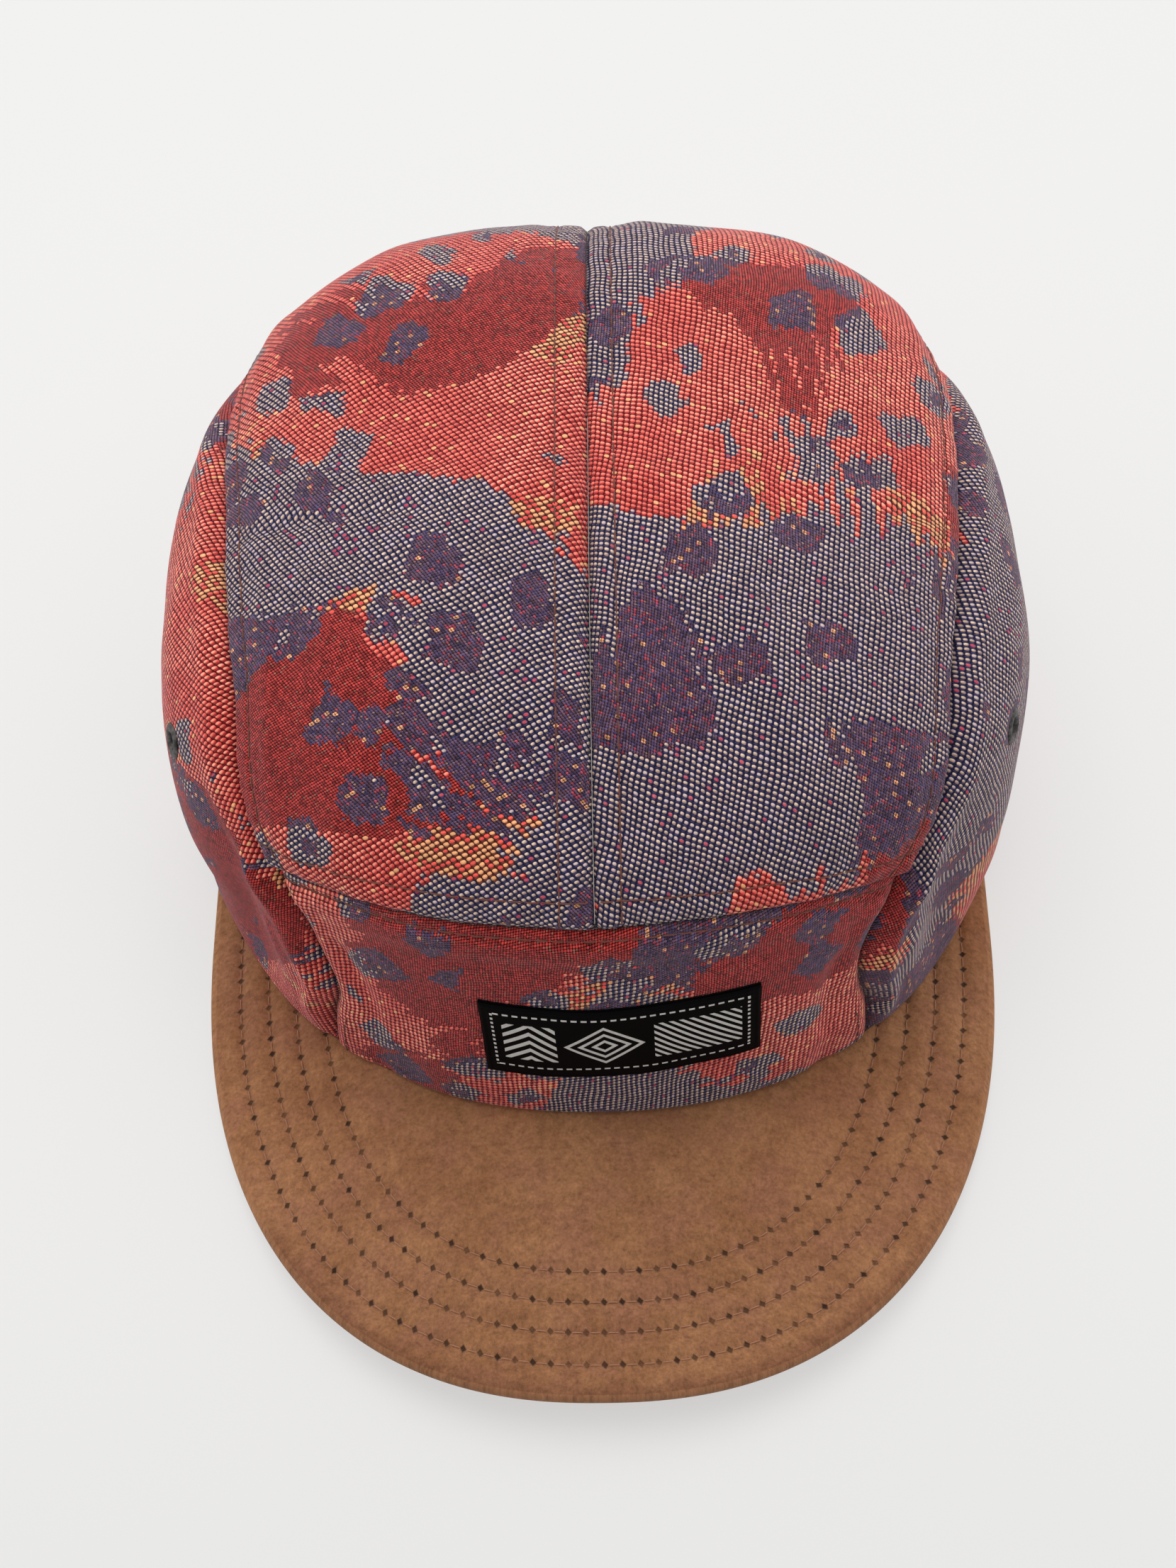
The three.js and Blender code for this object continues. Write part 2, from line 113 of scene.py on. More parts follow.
# Soft dents: place on the panel, half sizes, depth (negative swells)
DENTS = {
    "front": [(0.04, 0.45, 0.05, 0.3, 1.6), (0.96, 0.45, 0.05, 0.3, 1.6), (0.16, 0.2, 0.05, 0.25, 1.2),
              (0.5, 0.99, 0.5, 0.07, -1.0)],
    "top": [(0.1, 0.86, 0.05, 0.16, 1.4), (0.42, 0.55, 0.1, 0.3, 1.2), (0.6, 0.35, 0.07, 0.3, -1.3),
            (0.7, 0.75, 0.06, 0.2, 1.4), (0.24, 0.97, 0.12, 0.05, -1.2)],
    "side": [(0.05, 0.5, 0.035, 0.3, -2.2), (0.13, 0.35, 0.04, 0.35, 2.6), (0.24, 0.5, 0.05, 0.4, -1.0),
             (0.5, 0.3, 0.09, 0.3, 1.4), (0.78, 0.5, 0.08, 0.3, 1.0)],
}

# Waves of soft cloth, suede and label: height, size, seed
CLOTH_WAVES = [(1.25, 36, 3.1), (0.5, 15, 11.7)]
BRIM_WAVES = [(0.22, 30, 5.3), (0.12, 11, 8.9)]
LABEL_WAVES = [(0.12, 9, 2.2)]
SETTLE_HEIGHT = 14.0
RIM_THINNING = 0.3
CROWN_MIDDLE = (0.0, CROWN_AXIS_Y, 20.0)

# Topstitching on the crown: panel, edge that it follows, distance from it
TOPSTITCH = [("top", "high", 4.9), ("top", "low", 5.6), ("top", "start", 5.6), ("front", "high", 2.2)]
STITCH_LEFT_EXTRA = {("top", "high"): 1.3}
STITCH_MARGIN = 0.8
CORNER_STITCH = 4.0
CORNER_STITCH_TOP = 26.0
BRIM_ROWS = [6.9, 13.1, 19.0, 25.0]
BRIM_ROW_HALF = 2.9
BRIM_PITCH = 3.5

# Threads: pitch, radius, how far the ends dip, share of the pitch that each stitch covers
CROWN_THREAD = (2.9, 0.17, 0.22, 0.93)
BRIM_THREAD = (BRIM_PITCH, 0.15, 0.24, 0.7)

LABEL_WIDTH = 55.0
LABEL_HEIGHT = 23.5
LABEL_SEEN = 0.97
LABEL_CENTRE = (4.4, 43.0)
LABEL_TILT = 1.6
LABEL_LIFT = 0.25
LABEL_THICKNESS = 0.9

EYELET_OUTER = 3.7
EYELET_INNER = 1.7
EYELET_HOLE = 2.5

# The camera, fitted to the photo's 1659 by 2212 frame
PHOTO_SIZE = (1659, 2212)
FOCAL_PIXELS = 3000
SENSOR_WIDTH = 36.0
CAMERA_AZIMUTH = 2.23
CAMERA_ELEVATION = 62.8
CAMERA_ROLL = -3.03
CAMERA_DISTANCE = 414.7
CAMERA_TARGET = (-1.3, -37.8, 60.0)

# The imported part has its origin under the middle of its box. This is that shift from the crown's axes.
SHIFT_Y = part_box("brim")[0].y / MM - (BRIM_PIVOT_Y - BRIM_REACH)


def smooth(t):
    t = np.clip(t, 0, 1)
    return t * t * (3 - 2 * t)


def signed_power(x, power):
    return np.sign(x) * np.abs(x) ** power


def bump(distance, width):
    return np.exp(-(distance / width) ** 2)


def running(points):
    steps = np.linalg.norm(np.diff(points, axis=0), axis=-1)
    return np.concatenate([[0], np.cumsum(steps)])


def unit(vectors):
    return vectors / np.maximum(np.linalg.norm(vectors, axis=-1, keepdims=True), 1e-9)


def cubic(knots, values, end_slope=None):
    knots = np.asarray(knots, float)
    values = np.asarray(values, float)
    span = np.diff(knots)
    chord = np.diff(values) / span
    slope = np.empty_like(values)
    slope[0] = chord[0]
    slope[-1] = chord[-1] if end_slope is None else end_slope
    slope[1:-1] = (chord[:-1] * span[1:] + chord[1:] * span[:-1]) / (span[:-1] + span[1:])

    def at(x):
        i = np.clip(np.searchsorted(knots, x) - 1, 0, len(span) - 1)
        t = np.clip((x - knots[i]) / span[i], 0, 1)
        start = (1 + 2 * t) * (1 - t) ** 2 * values[i] + t * (1 - t) ** 2 * span[i] * slope[i]
        end = t * t * (3 - 2 * t) * values[i + 1] + t * t * (t - 1) * span[i] * slope[i + 1]
        return start + end

    return at


def profile_curve(rows):
    rows = np.array(rows, float)
    share = running(rows)
    share /= share[-1]
    return cubic(share, rows[:, 0]), cubic(share, rows[:, 1], 0)


FRONT = profile_curve(FRONT_PROFILE)
SIDE = profile_curve(SIDE_PROFILE)
BACK = profile_curve(BACK_PROFILE)


def brim_top(x):
    return BRIM_THICKNESS + BRIM_ARCH * np.maximum(0, 1 - (x / BRIM_HALF_WIDTH) ** 2)


def rim_height(x, y):
    on_brim = smooth((BRIM_REAR_Y + RAMP_START + RAMP_LENGTH - y) / RAMP_LENGTH)
    return (brim_top(x) + BRIM_LIFT) * on_brim


def seam_surface(place):
    """The crown over a unit disc: the centre is the apex, the edge is the rim, -q is the front."""
    p, q = place[..., 0], place[..., 1]
    length = np.hypot(p, q)
    safe = np.maximum(length, 1e-9)
    sine = np.where(length > 1e-9, p / safe, 0)
    cosine = np.where(length > 1e-9, -q / safe, 1)
    ahead = cosine > 0
    power = np.where(ahead, 2 / SQUARE_FRONT, 2 / SQUARE_BACK)
    share = 1 - np.minimum(1, length)
    reach = np.where(ahead, FRONT[0](share), BACK[0](share))
    rise = np.where(ahead, FRONT[1](share), BACK[1](share)) * cosine**2 + SIDE[1](share) * sine**2
    rim = np.where(ahead, FRONT_PROFILE[0][0], BACK_PROFILE[0][0])
    sideways = signed_power(sine, power)
    forward = signed_power(cosine, power)
    x = SIDE[0](share) * sideways
    y = CROWN_AXIS_Y - reach * forward
    foot = rim_height(SIDE_PROFILE[0][0] * sideways, CROWN_AXIS_Y - rim * forward)
    return np.stack([x, y, foot + rise * (1 - foot / CROWN_HEIGHT)], -1)


def surface_normal(place):
    step = 2e-3
    radius = np.linalg.norm(place, axis=-1, keepdims=True)
    inner = place * np.where(radius > 1 - 2 * step, (1 - 2 * step) / np.maximum(radius, 1e-9), 1)
    along_p = seam_surface(inner + [step, 0]) - seam_surface(inner - [step, 0])
    along_q = seam_surface(inner + [0, step]) - seam_surface(inner - [0, step])
    normal = np.cross(along_p, along_q)
    normal[..., 2] *= radius[..., 0] < 1 - 1e-6
    return unit(normal)


def disc_place(angle, height):
    direction = np.stack([np.sin(np.radians(angle)), -np.cos(np.radians(angle))], -1)
    low = np.zeros_like(angle)
    high = np.ones_like(angle)
    for _ in range(40):
        middle = (low + high) / 2
        above = seam_surface(direction * middle[:, None])[:, 2] > height
        low = np.where(above, middle, low)
        high = np.where(above, high, middle)
    return direction * high[:, None]


def seam_curve(rows):
    rows = np.array(rows, float)
    knots = np.arange(len(rows))
    at = np.linspace(0, len(rows) - 1, (len(rows) - 1) * 12 + 1)
    places = disc_place(cubic(knots, rows[:, 0])(at), cubic(knots, rows[:, 1])(at))
    share = running(seam_surface(places))
    share /= share[-1]
    p, q = cubic(share, places[:, 0]), cubic(share, places[:, 1])
    return lambda t: np.stack([p(t), q(t)], -1)


def rim_arc(from_angle, to_angle):
    def at(t):
        angle = np.radians(from_angle + (to_angle - from_angle) * t)
        return np.stack([np.sin(angle), -np.cos(angle)], -1)
    return at


MIRROR_2 = np.array([-1, 1])
MIRROR_3 = np.array([-1, 1, 1])
front_top = seam_curve(FRONT_TOP_SEAM)
front_side = seam_curve(FRONT_SIDE_SEAM)
side_seam = seam_curve(SIDE_SEAM)
front_top_centre = front_top(np.zeros(1))[0]


def whole_front_top(t):
    right = front_top(np.abs(2 * t - 1))
    return np.where((t < 0.5)[..., None], right * MIRROR_2, right)


def centre_seam(t):
    return front_top_centre * (1 - t)[..., None] + np.array([0, 1]) * t[..., None]


# Each panel's four edges, and which of them are seams
PANEL = {
    "front": {
        "low": rim_arc(-FRONT_FOOT, FRONT_FOOT),
        "high": whole_front_top,
        "start": lambda t: front_side(t) * MIRROR_2,
        "end": front_side,
        "seams": ("high", "start", "end"),
    },
    "top": {
        "low": side_seam,
        "high": centre_seam,
        "start": lambda t: front_top(1 - t),
        "end": rim_arc(REAR_FOOT, 180),
        "seams": ("low", "high", "start"),
    },
    "side": {
        "low": rim_arc(FRONT_FOOT, REAR_FOOT),
        "high": lambda t: side_seam(t * (1 - REAR_PART)),
        "start": front_side,
        "end": lambda t: side_seam(1 - t * REAR_PART),
        "seams": ("high", "start", "end"),
    },
}


def patch(panel, u, v):
    along_u, along_v = u[..., None], v[..., None]
    low, high = panel["low"], panel["high"]
    across = low(u) * (1 - along_v) + high(u) * along_v
    along = panel["start"](v) * (1 - along_u) + panel["end"](v) * along_u
    zero, one = np.zeros(1), np.ones(1)
    corners = (low(zero) * (1 - along_u) * (1 - along_v) + low(one) * along_u * (1 - along_v)
               + high(zero) * (1 - along_u) * along_v + high(one) * along_u * along_v)
    return across + along - corners


def cloth_offset(name, u, v):
    swell, edge = PILLOW[name]
    inside = (1 - np.abs(2 * u - 1) ** edge) * (1 - np.abs(2 * v - 1) ** edge)
    dents = sum(depth * np.exp(-((u - at_u) / half_u) ** 2 - ((v - at_v) / half_v) ** 2)
                for at_u, at_v, half_u, half_v, depth in DENTS[name])
    return swell * inside - dents * np.minimum(1, 3 * inside)


def eased(cells, ease=0.6):
    """Shares from 0 to 1, closer together at both ends."""
    share = np.linspace(0, 1, cells + 1)
    return share - ease * np.sin(2 * np.pi * share) / (2 * np.pi)


def line_distance(points, line):
    """Distance of each point from a polyline, and where along it the nearest place is."""
    flat = points.reshape(-1, 3)
    squares = (flat**2).sum(1)[:, None] + (line**2).sum(1)[None] - 2 * flat @ line.T
    nearest = squares.argmin(1)
    length = running(line)
    best = np.full(len(flat), np.inf)
    along = np.zeros(len(flat))
    for step in (-1, 0):
        k = np.clip(nearest + step, 0, len(line) - 2)
        start, run = line[k], line[k + 1] - line[k]
        t = np.clip(((flat - start) * run).sum(1) / (run**2).sum(1), 0, 1)
        gap = np.linalg.norm(flat - start - run * t[:, None], axis=1)
        closer = gap < best
        best = np.where(closer, gap, best)
        along = np.where(closer, length[k] + t * (length[k + 1] - length[k]), along)
    return best.reshape(points.shape[:-1]), along.reshape(points.shape[:-1])


def border(grid, edge):
    return {"low": grid[:, 0], "high": grid[:, -1], "start": grid[0], "end": grid[-1]}[edge]


def ripples(points, rows):
    """Smooth noise in space. Each row gives a height, the size of one feature and a seed."""
    def cloud(size, seed):
        flat = points.reshape(-1, 3) / size + seed
        return np.array([noise.noise(Vector(place)) for place in flat]).reshape(points.shape[:-1])
    return sum(height * cloud(size, seed) for height, size, seed in rows)


def read_grid(grid, places):
    """Reads a grid between its points."""
    i, j = (np.clip(np.floor(places[:, k]).astype(int), 0, grid.shape[k] - 2) for k in (0, 1))
    s, t = (places - np.column_stack([i, j])).T[..., None]
    low = grid[i, j] * (1 - s) + grid[i + 1, j] * s
    high = grid[i, j + 1] * (1 - s) + grid[i + 1, j + 1] * s
    return low * (1 - t) + high * t


def level_line(field, distance, edge):
    """Grid places where a field, which grows away from an edge, reaches a distance."""
    lines = {"low": field, "high": field[:, ::-1], "start": field.T, "end": field.T[:, ::-1]}[edge]
    places = []
    for k, line in enumerate(lines):
        beyond = np.nonzero(line >= distance)[0]
        if not len(beyond) or beyond[0] == 0:
            continue
        j = beyond[0]
        at = j - 1 + (distance - line[j - 1]) / (line[j] - line[j - 1])
        if edge in ("high", "end"):
            at = lines.shape[1] - 1 - at
        places.append((k, at) if edge in ("low", "high") else (at, k))
    return np.array(places, float)


def grid_normal(grid, outward):
    normal = unit(np.cross(np.gradient(grid, axis=1), np.gradient(grid, axis=0)))
    return normal * np.sign((normal * outward).sum(-1).mean())


# The cap isn't quite even: on the left the front corner's seams lie a few degrees further round.
# The lean starts and ends over shares of the way up from the rim: place, length.
LEAN_DEGREES = 3.7
LEAN_MIDDLE = 38.0
LEAN_WIDTH = 20.0
LEAN_START = (0.12, 0.15)
LEAN_END = (0.5, 0.35)
LEAN_CLEAR_ANGLE = 15.0


def lean(place):
    """Turns places on the disc's front corner outwards, and leaves the rim and the crown's middle."""
    length = np.linalg.norm(place, axis=-1)
    angle = np.degrees(np.arctan2(np.abs(place[..., 0]), -place[..., 1]))
    begun, ended = (smooth((1 - length - at) / span) for at, span in (LEAN_START, LEAN_END))
    strength = begun * (1 - ended) * smooth(angle / LEAN_CLEAR_ANGLE)
    turned = np.radians(angle + LEAN_DEGREES * bump(angle - LEAN_MIDDLE, LEAN_WIDTH) * strength)
    return np.stack([np.sign(place[..., 0]) * length * np.sin(turned), -length * np.cos(turned)], -1)


# Pressed seams: a valley along the seam, a raised strip of allowance beside it, a groove at the stitches
STITCH_AT = {(panel, edge): distance for panel, edge, distance in TOPSTITCH}
VALLEY_DEPTH = {("top", "start"): 0.3, ("front", "high"): 0.3, ("top", "high"): 0.45}
PLAIN_VALLEY_DEPTH = 1.0
VALLEY_WIDTH = 1.0
STRIP_RISE = 0.55
STRIP_RISE_RIGHT = 0.3
STRIP_SLOPES = (1.3, 2.2)
WIDE_STRIP = 3.0
PUCKER_RISE = 0.24
PUCKER_TURNS = (0.83, 0.11, 0.31)
PUCKER_SWAY = 2.2
GROOVE = (0.42, 0.8)
CORNER_DIPS = {
    ("side", "high"): (0.9, 2.4), ("side", "start"): (0.9, 2.4), ("side", "end"): (0.9, 2.4),
    ("front", "start"): (0.6, 2.0), ("front", "end"): (0.6, 2.0),
}

# How much narrower the painted shade along a seam is than along a plain one
NARROW = {("top", "high"): 1.7, ("top", "start"): 2.4, ("front", "high"): 2.4}

# Rolls of cloth beside seams: height, distance from the seam, half width
ROLLS = {
    ("side", "start"): (1.9, 4.3, 2.5),
    ("side", "high"): (1.1, 5.0, 3.2),
    ("front", "start"): (0.8, 4.6, 2.4),
    ("front", "end"): (0.8, 4.6, 2.4),
    ("front", "high"): (0.6, 6.5, 3.2),
    ("top", "low"): (0.7, 10.0, 3.4),
    ("top", "high"): (0.45, 11.0, 3.5),
}
ROLL_END = 7.0

# Soft creases: places on the panel that each runs through, half width as a share of the panel, height
CREASES = {
    "top": [
        ([(0.66, 0.0), (0.74, 0.35), (0.77, 0.7), (0.77, 1.2)], 0.035, 1.1),
        ([(0.76, 0.0), (0.83, 0.4), (0.86, 0.8), (0.86, 1.2)], 0.04, -0.9),
        ([(0.02, 0.3), (0.14, 0.5), (0.3, 0.62)], 0.04, 0.7),
    ],
    "front": [
        ([(0.12, -0.1), (0.1, 0.3), (0.06, 0.8)], 0.028, -0.9),
        ([(0.88, -0.1), (0.9, 0.3), (0.94, 0.8)], 0.028, -0.9),
    ],
}
CREASE_STEPS = 60
CREASE_FADE = 0.15

# Grain of each panel's cloth: turn in degrees and the place in the cloth's design
GRAIN = {
    1: (2.0, 40.0, -260.0),
    2: (15.0, -150.0, 30.0),
    3: (15.0, -395.0, 420.0),
    4: (8.0, -490.0, -130.0),
    5: (-7.0, 560.0, -260.0),
}
FLAT_CELLS = (41, 19)
FLAT_ROUNDS = 1500
FLAT_PULL = 0.11


def stitch_distance(name, edge, mirror):
    return STITCH_AT.get((name, edge), 0) + (STITCH_LEFT_EXTRA.get((name, edge), 0) if mirror else 0)


def seam_relief(name, edge, distance, along, mirror):
    relief = -VALLEY_DEPTH.get((name, edge), PLAIN_VALLEY_DEPTH) * bump(distance, VALLEY_WIDTH)
    if edge not in PANEL[name]["seams"]:
        return relief
    stitch = stitch_distance(name, edge, mirror)
    if stitch > WIDE_STRIP:
        rise = STRIP_RISE_RIGHT if (name, edge, mirror) == ("top", "high", False) else STRIP_RISE
        up, down = STRIP_SLOPES
        relief += rise * smooth(distance / up) * (1 - smooth((distance - stitch) / down))
        fast, slow, slower = (along * turns for turns in PUCKER_TURNS)
        puckers = np.sin(fast + PUCKER_SWAY * np.sin(slow)) * np.sin(slower + 1)
        relief += PUCKER_RISE * puckers * bump(distance - stitch * 0.5, stitch * 0.6)
    if stitch:
        relief -= GROOVE[0] * bump(distance - stitch, GROOVE[1])
    if (name, edge) in CORNER_DIPS:
        depth, width = CORNER_DIPS[name, edge]
        relief -= depth * bump(distance, width)
    return relief


def crease_relief(name, u, v):
    relief = 0
    fine = np.linspace(0, 1, CREASE_STEPS)
    for line, half_width, height in CREASES.get(name, []):
        knots = np.linspace(0, 1, len(line))
        places = np.stack([np.interp(fine, knots, column) for column in zip(*line)], -1)
        gaps = np.hypot(u[..., None] - places[:, 0], v[..., None] - places[:, 1])
        along = fine[gaps.argmin(-1)]
        fade = smooth(along / CREASE_FADE) * smooth((1 - along) / CREASE_FADE)
        relief = relief + height * bump(gaps.min(-1), half_width) * fade
    return relief


class Panel:
    """One crown panel as a fine grid of points on its outer and inner face."""

    def __init__(self, name, mirror, seed):
        cells_u, cells_v = FINE_CELLS[name]
        seams = PANEL[name]["seams"]
        self.name = name
        self.mirror = mirror
        self.u, self.v = np.meshgrid(eased(cells_u), eased(cells_v), indexing="ij")
        place = patch(PANEL[name], self.u, self.v)
        if mirror or name == "front":
            on_left = mirror | (place[..., 0] < 0)
            place = np.where(on_left[..., None], lean(place), place)
        seam = seam_surface(place)
        normal = surface_normal(place)
        self.distance = {}
        relief = 0
        for edge in ("low", "high", "start", "end"):
            self.distance[edge], along = line_distance(seam, border(seam, edge))
            relief = relief + seam_relief(name, edge, self.distance[edge], along, mirror)
        self.nearest_seam = np.minimum.reduce(
            [self.distance[edge] * NARROW.get((name, edge), 1.0) for edge in seams])
        settled = smooth((seam[..., 2] - rim_height(seam[..., 0], seam[..., 1])) / SETTLE_HEIGHT)
        for edge in seams:
            if (name, edge) in ROLLS:
                height, middle, width = ROLLS[name, edge]
                others = [self.distance[other] for other in seams if other != edge]
                clear = smooth(np.minimum.reduce(others) / ROLL_END)
                relief = relief + height * bump(self.distance[edge] - middle, width) * clear * settled
        relief = relief + crease_relief(name, self.u, self.v)
        side = MIRROR_3 if mirror else np.ones(3)
        base = seam + normal * cloth_offset(name, self.u, self.v)[..., None]
        waves = ripples(base * side, CLOTH_WAVES) * settled
        base = base + self.draw_in(seam, normal)
        rim_edge = next(edge for edge in self.distance if edge not in seams)
        thickness = CLOTH * (1 - RIM_THINNING * bump(self.distance[rim_edge], 1.0))
        on_rim = np.linalg.norm(place, axis=-1) > 1 - 1e-6
        faces = []
        for lift in (relief + waves, waves - thickness):
            face = base + normal * lift[..., None]
            face[..., 2] = np.where(on_rim, rim_height(face[..., 0], face[..., 1]), face[..., 2])
            faces.append(face * side)
        self.outer, self.inner = faces
        self.normal = grid_normal(self.outer, self.outer - np.array(CROWN_MIDDLE))
        self.cloth = self.cut_flat(seed)

    def draw_in(self, seam, normal):
        """Half the gap between two panels, at each seam edge."""
        shift = np.zeros_like(seam)
        for edge in PANEL[self.name]["seams"]:
            line = border(seam, edge)
            inside = {"low": seam[:, 1], "high": seam[:, -2], "start": seam[1], "end": seam[-2]}[edge]
            inward = unit(np.cross(np.gradient(line, axis=0), border(normal, edge)))
            sign = np.sign(((inside - line) * inward).sum(-1, keepdims=True))
            border(shift, edge)[...] += inward * sign * PANEL_GAP / 2
        return shift

    def cut_flat(self, seed):
        """Lays the panel out flat, as it was cut, so that the weave keeps its size everywhere."""
        turn, offset_u, offset_v = GRAIN[seed]
        rows, columns = self.u.shape
        pick_u = np.linspace(0, rows - 1, FLAT_CELLS[0]).astype(int)
        pick_v = np.linspace(0, columns - 1, FLAT_CELLS[1]).astype(int)
        solid = self.outer[np.ix_(pick_u, pick_v)]
        sheet = np.zeros(solid.shape[:2] + (2,))
        sheet[..., 0] = running(solid[:, len(pick_v) // 2])[:, None]
        sheet[:, 1:, 1] = np.linalg.norm(np.diff(solid, axis=1), axis=-1).cumsum(1).mean(0)
        whole, after, before = slice(None), slice(1, None), slice(None, -1)
        ties = [((after, whole), (before, whole)), ((whole, after), (whole, before)),
                ((after, after), (before, before)), ((after, before), (before, after))]
        rest = [np.linalg.norm(solid[a] - solid[b], axis=-1) for a, b in ties]
        for _ in range(FLAT_ROUNDS):
            move = np.zeros_like(sheet)
            for (a, b), length in zip(ties, rest):
                gap = sheet[a] - sheet[b]
                now = np.linalg.norm(gap, axis=-1)
                pull = (FLAT_PULL * (length - now) / np.maximum(now, 1e-6))[..., None] * gap
                move[a] += pull
                move[b] -= pull
            sheet += move
        fine = np.empty(self.u.shape + (2,))
        for axis in (0, 1):
            part = np.array([np.interp(np.arange(columns), pick_v, line) for line in sheet[..., axis]])
            fine[..., axis] = np.array([np.interp(np.arange(rows), pick_u, line) for line in part.T]).T
        guide = fine[-1, -1] - fine[0, -1]
        angle = math.radians(turn) - math.atan2(guide[1], guide[0]) + math.pi / 2
        spin = np.array([[math.cos(angle), math.sin(angle)], [-math.sin(angle), math.cos(angle)]])
        fine = (fine - fine[0, -1]) @ spin
        if self.mirror:
            fine[..., 0] *= -1
        return np.concatenate([fine + [offset_u, offset_v], np.full((rows, columns, 1), float(seed))], -1)

    def stitch_line(self, edge, distance):
        """Points and normals at one distance from an edge and clear of the others."""
        places = level_line(self.distance[edge], distance, edge)
        others = [away for other, away in self.distance.items() if other != edge]
        places = places[read_grid(np.stack(others, -1), places).min(-1) > STITCH_MARGIN]
        return read_grid(self.outer, places), read_grid(self.normal, places)


panels = {
    "front_panel": Panel("front", False, 1),
    "top_panel_left": Panel("top", True, 2),
    "top_panel_right": Panel("top", False, 3),
    "side_panel_left": Panel("side", True, 4),
    "side_panel_right": Panel("side", False, 5),
}


def to_row(points):
    return (points + np.array([0, SHIFT_Y, 0])) * MM


def make_mesh(name, points, faces, material, attributes=None):
    """A new object from points in the crown's millimetres. Faces are turned outwards."""
    triangles = np.array([(face[0], face[k], face[k + 1]) for face in faces for k in range(1, len(face) - 1)])
    corner = points[triangles] - points.mean(0)
    volume = np.einsum("ij,ij->i", corner[:, 0], np.cross(corner[:, 1], corner[:, 2])).sum()
    if volume < 0:
        faces = [tuple(face)[::-1] for face in faces]
    mesh = bpy.data.meshes.new(name)
    mesh.from_pydata(to_row(points).tolist(), [], [tuple(int(k) for k in face) for face in faces])
    mesh.shade_smooth()
    for key, values in (attributes or {}).items():
        set_attribute(mesh, key, values)
    mesh.materials.append(material)
    mesh.update()
    made = bpy.data.objects.new(name, mesh)
    bpy.context.scene.collection.objects.link(made)
    return made


def set_attribute(mesh, key, values):
    values = np.asarray(values, np.float32)
    kind, field = ("FLOAT_VECTOR", "vector") if values.ndim == 2 else ("FLOAT", "value")
    mesh.attributes.new(key, kind, "POINT").data.foreach_set(field, values.ravel())


def both_faces(outer, inner):
    return np.concatenate([outer.reshape(-1, outer.shape[-1]), inner.reshape(-1, inner.shape[-1])])


def grid_faces(rows, columns):
    """Faces of a closed wall between two grids of points, the second after the first."""
    count = rows * columns
    at = np.arange(count).reshape(rows, columns)
    quads = np.stack([at[:-1, :-1], at[1:, :-1], at[1:, 1:], at[:-1, 1:]], -1).reshape(-1, 4)
    faces = [quads, quads[:, ::-1] + count]
    for line in (at[0, ::-1], at[:, 0], at[-1], at[::-1, -1]):
        faces.append(np.stack([line[:-1], line[1:], line[1:] + count, line[:-1] + count], -1))
    return np.concatenate(faces).tolist()


def operator(operation, swapped=False):
    def apply(self, other):
        return self.tree.math(operation, *((other, self) if swapped else (self, other)))
    return apply


class Wire:
    """A number in a node tree, with plain arithmetic."""

    __add__ = operator("ADD")
    __radd__ = operator("ADD", True)
    __sub__ = operator("SUBTRACT")
    __rsub__ = operator("SUBTRACT", True)
    __mul__ = operator("MULTIPLY")
    __rmul__ = operator("MULTIPLY", True)
    __truediv__ = operator("DIVIDE")
    __pow__ = operator("POWER")
    __gt__ = operator("GREATER_THAN")
    __lt__ = operator("LESS_THAN")
    at_least = operator("MAXIMUM")
    at_most = operator("MINIMUM")

    def __init__(self, tree, socket):
        self.tree = tree
        self.socket = socket

    def __abs__(self):
        return self.tree.math("ABSOLUTE", self)

    def floor(self):
        return self.tree.math("FLOOR", self)

    def fract(self):
        return self.tree.math("FRACT", self)


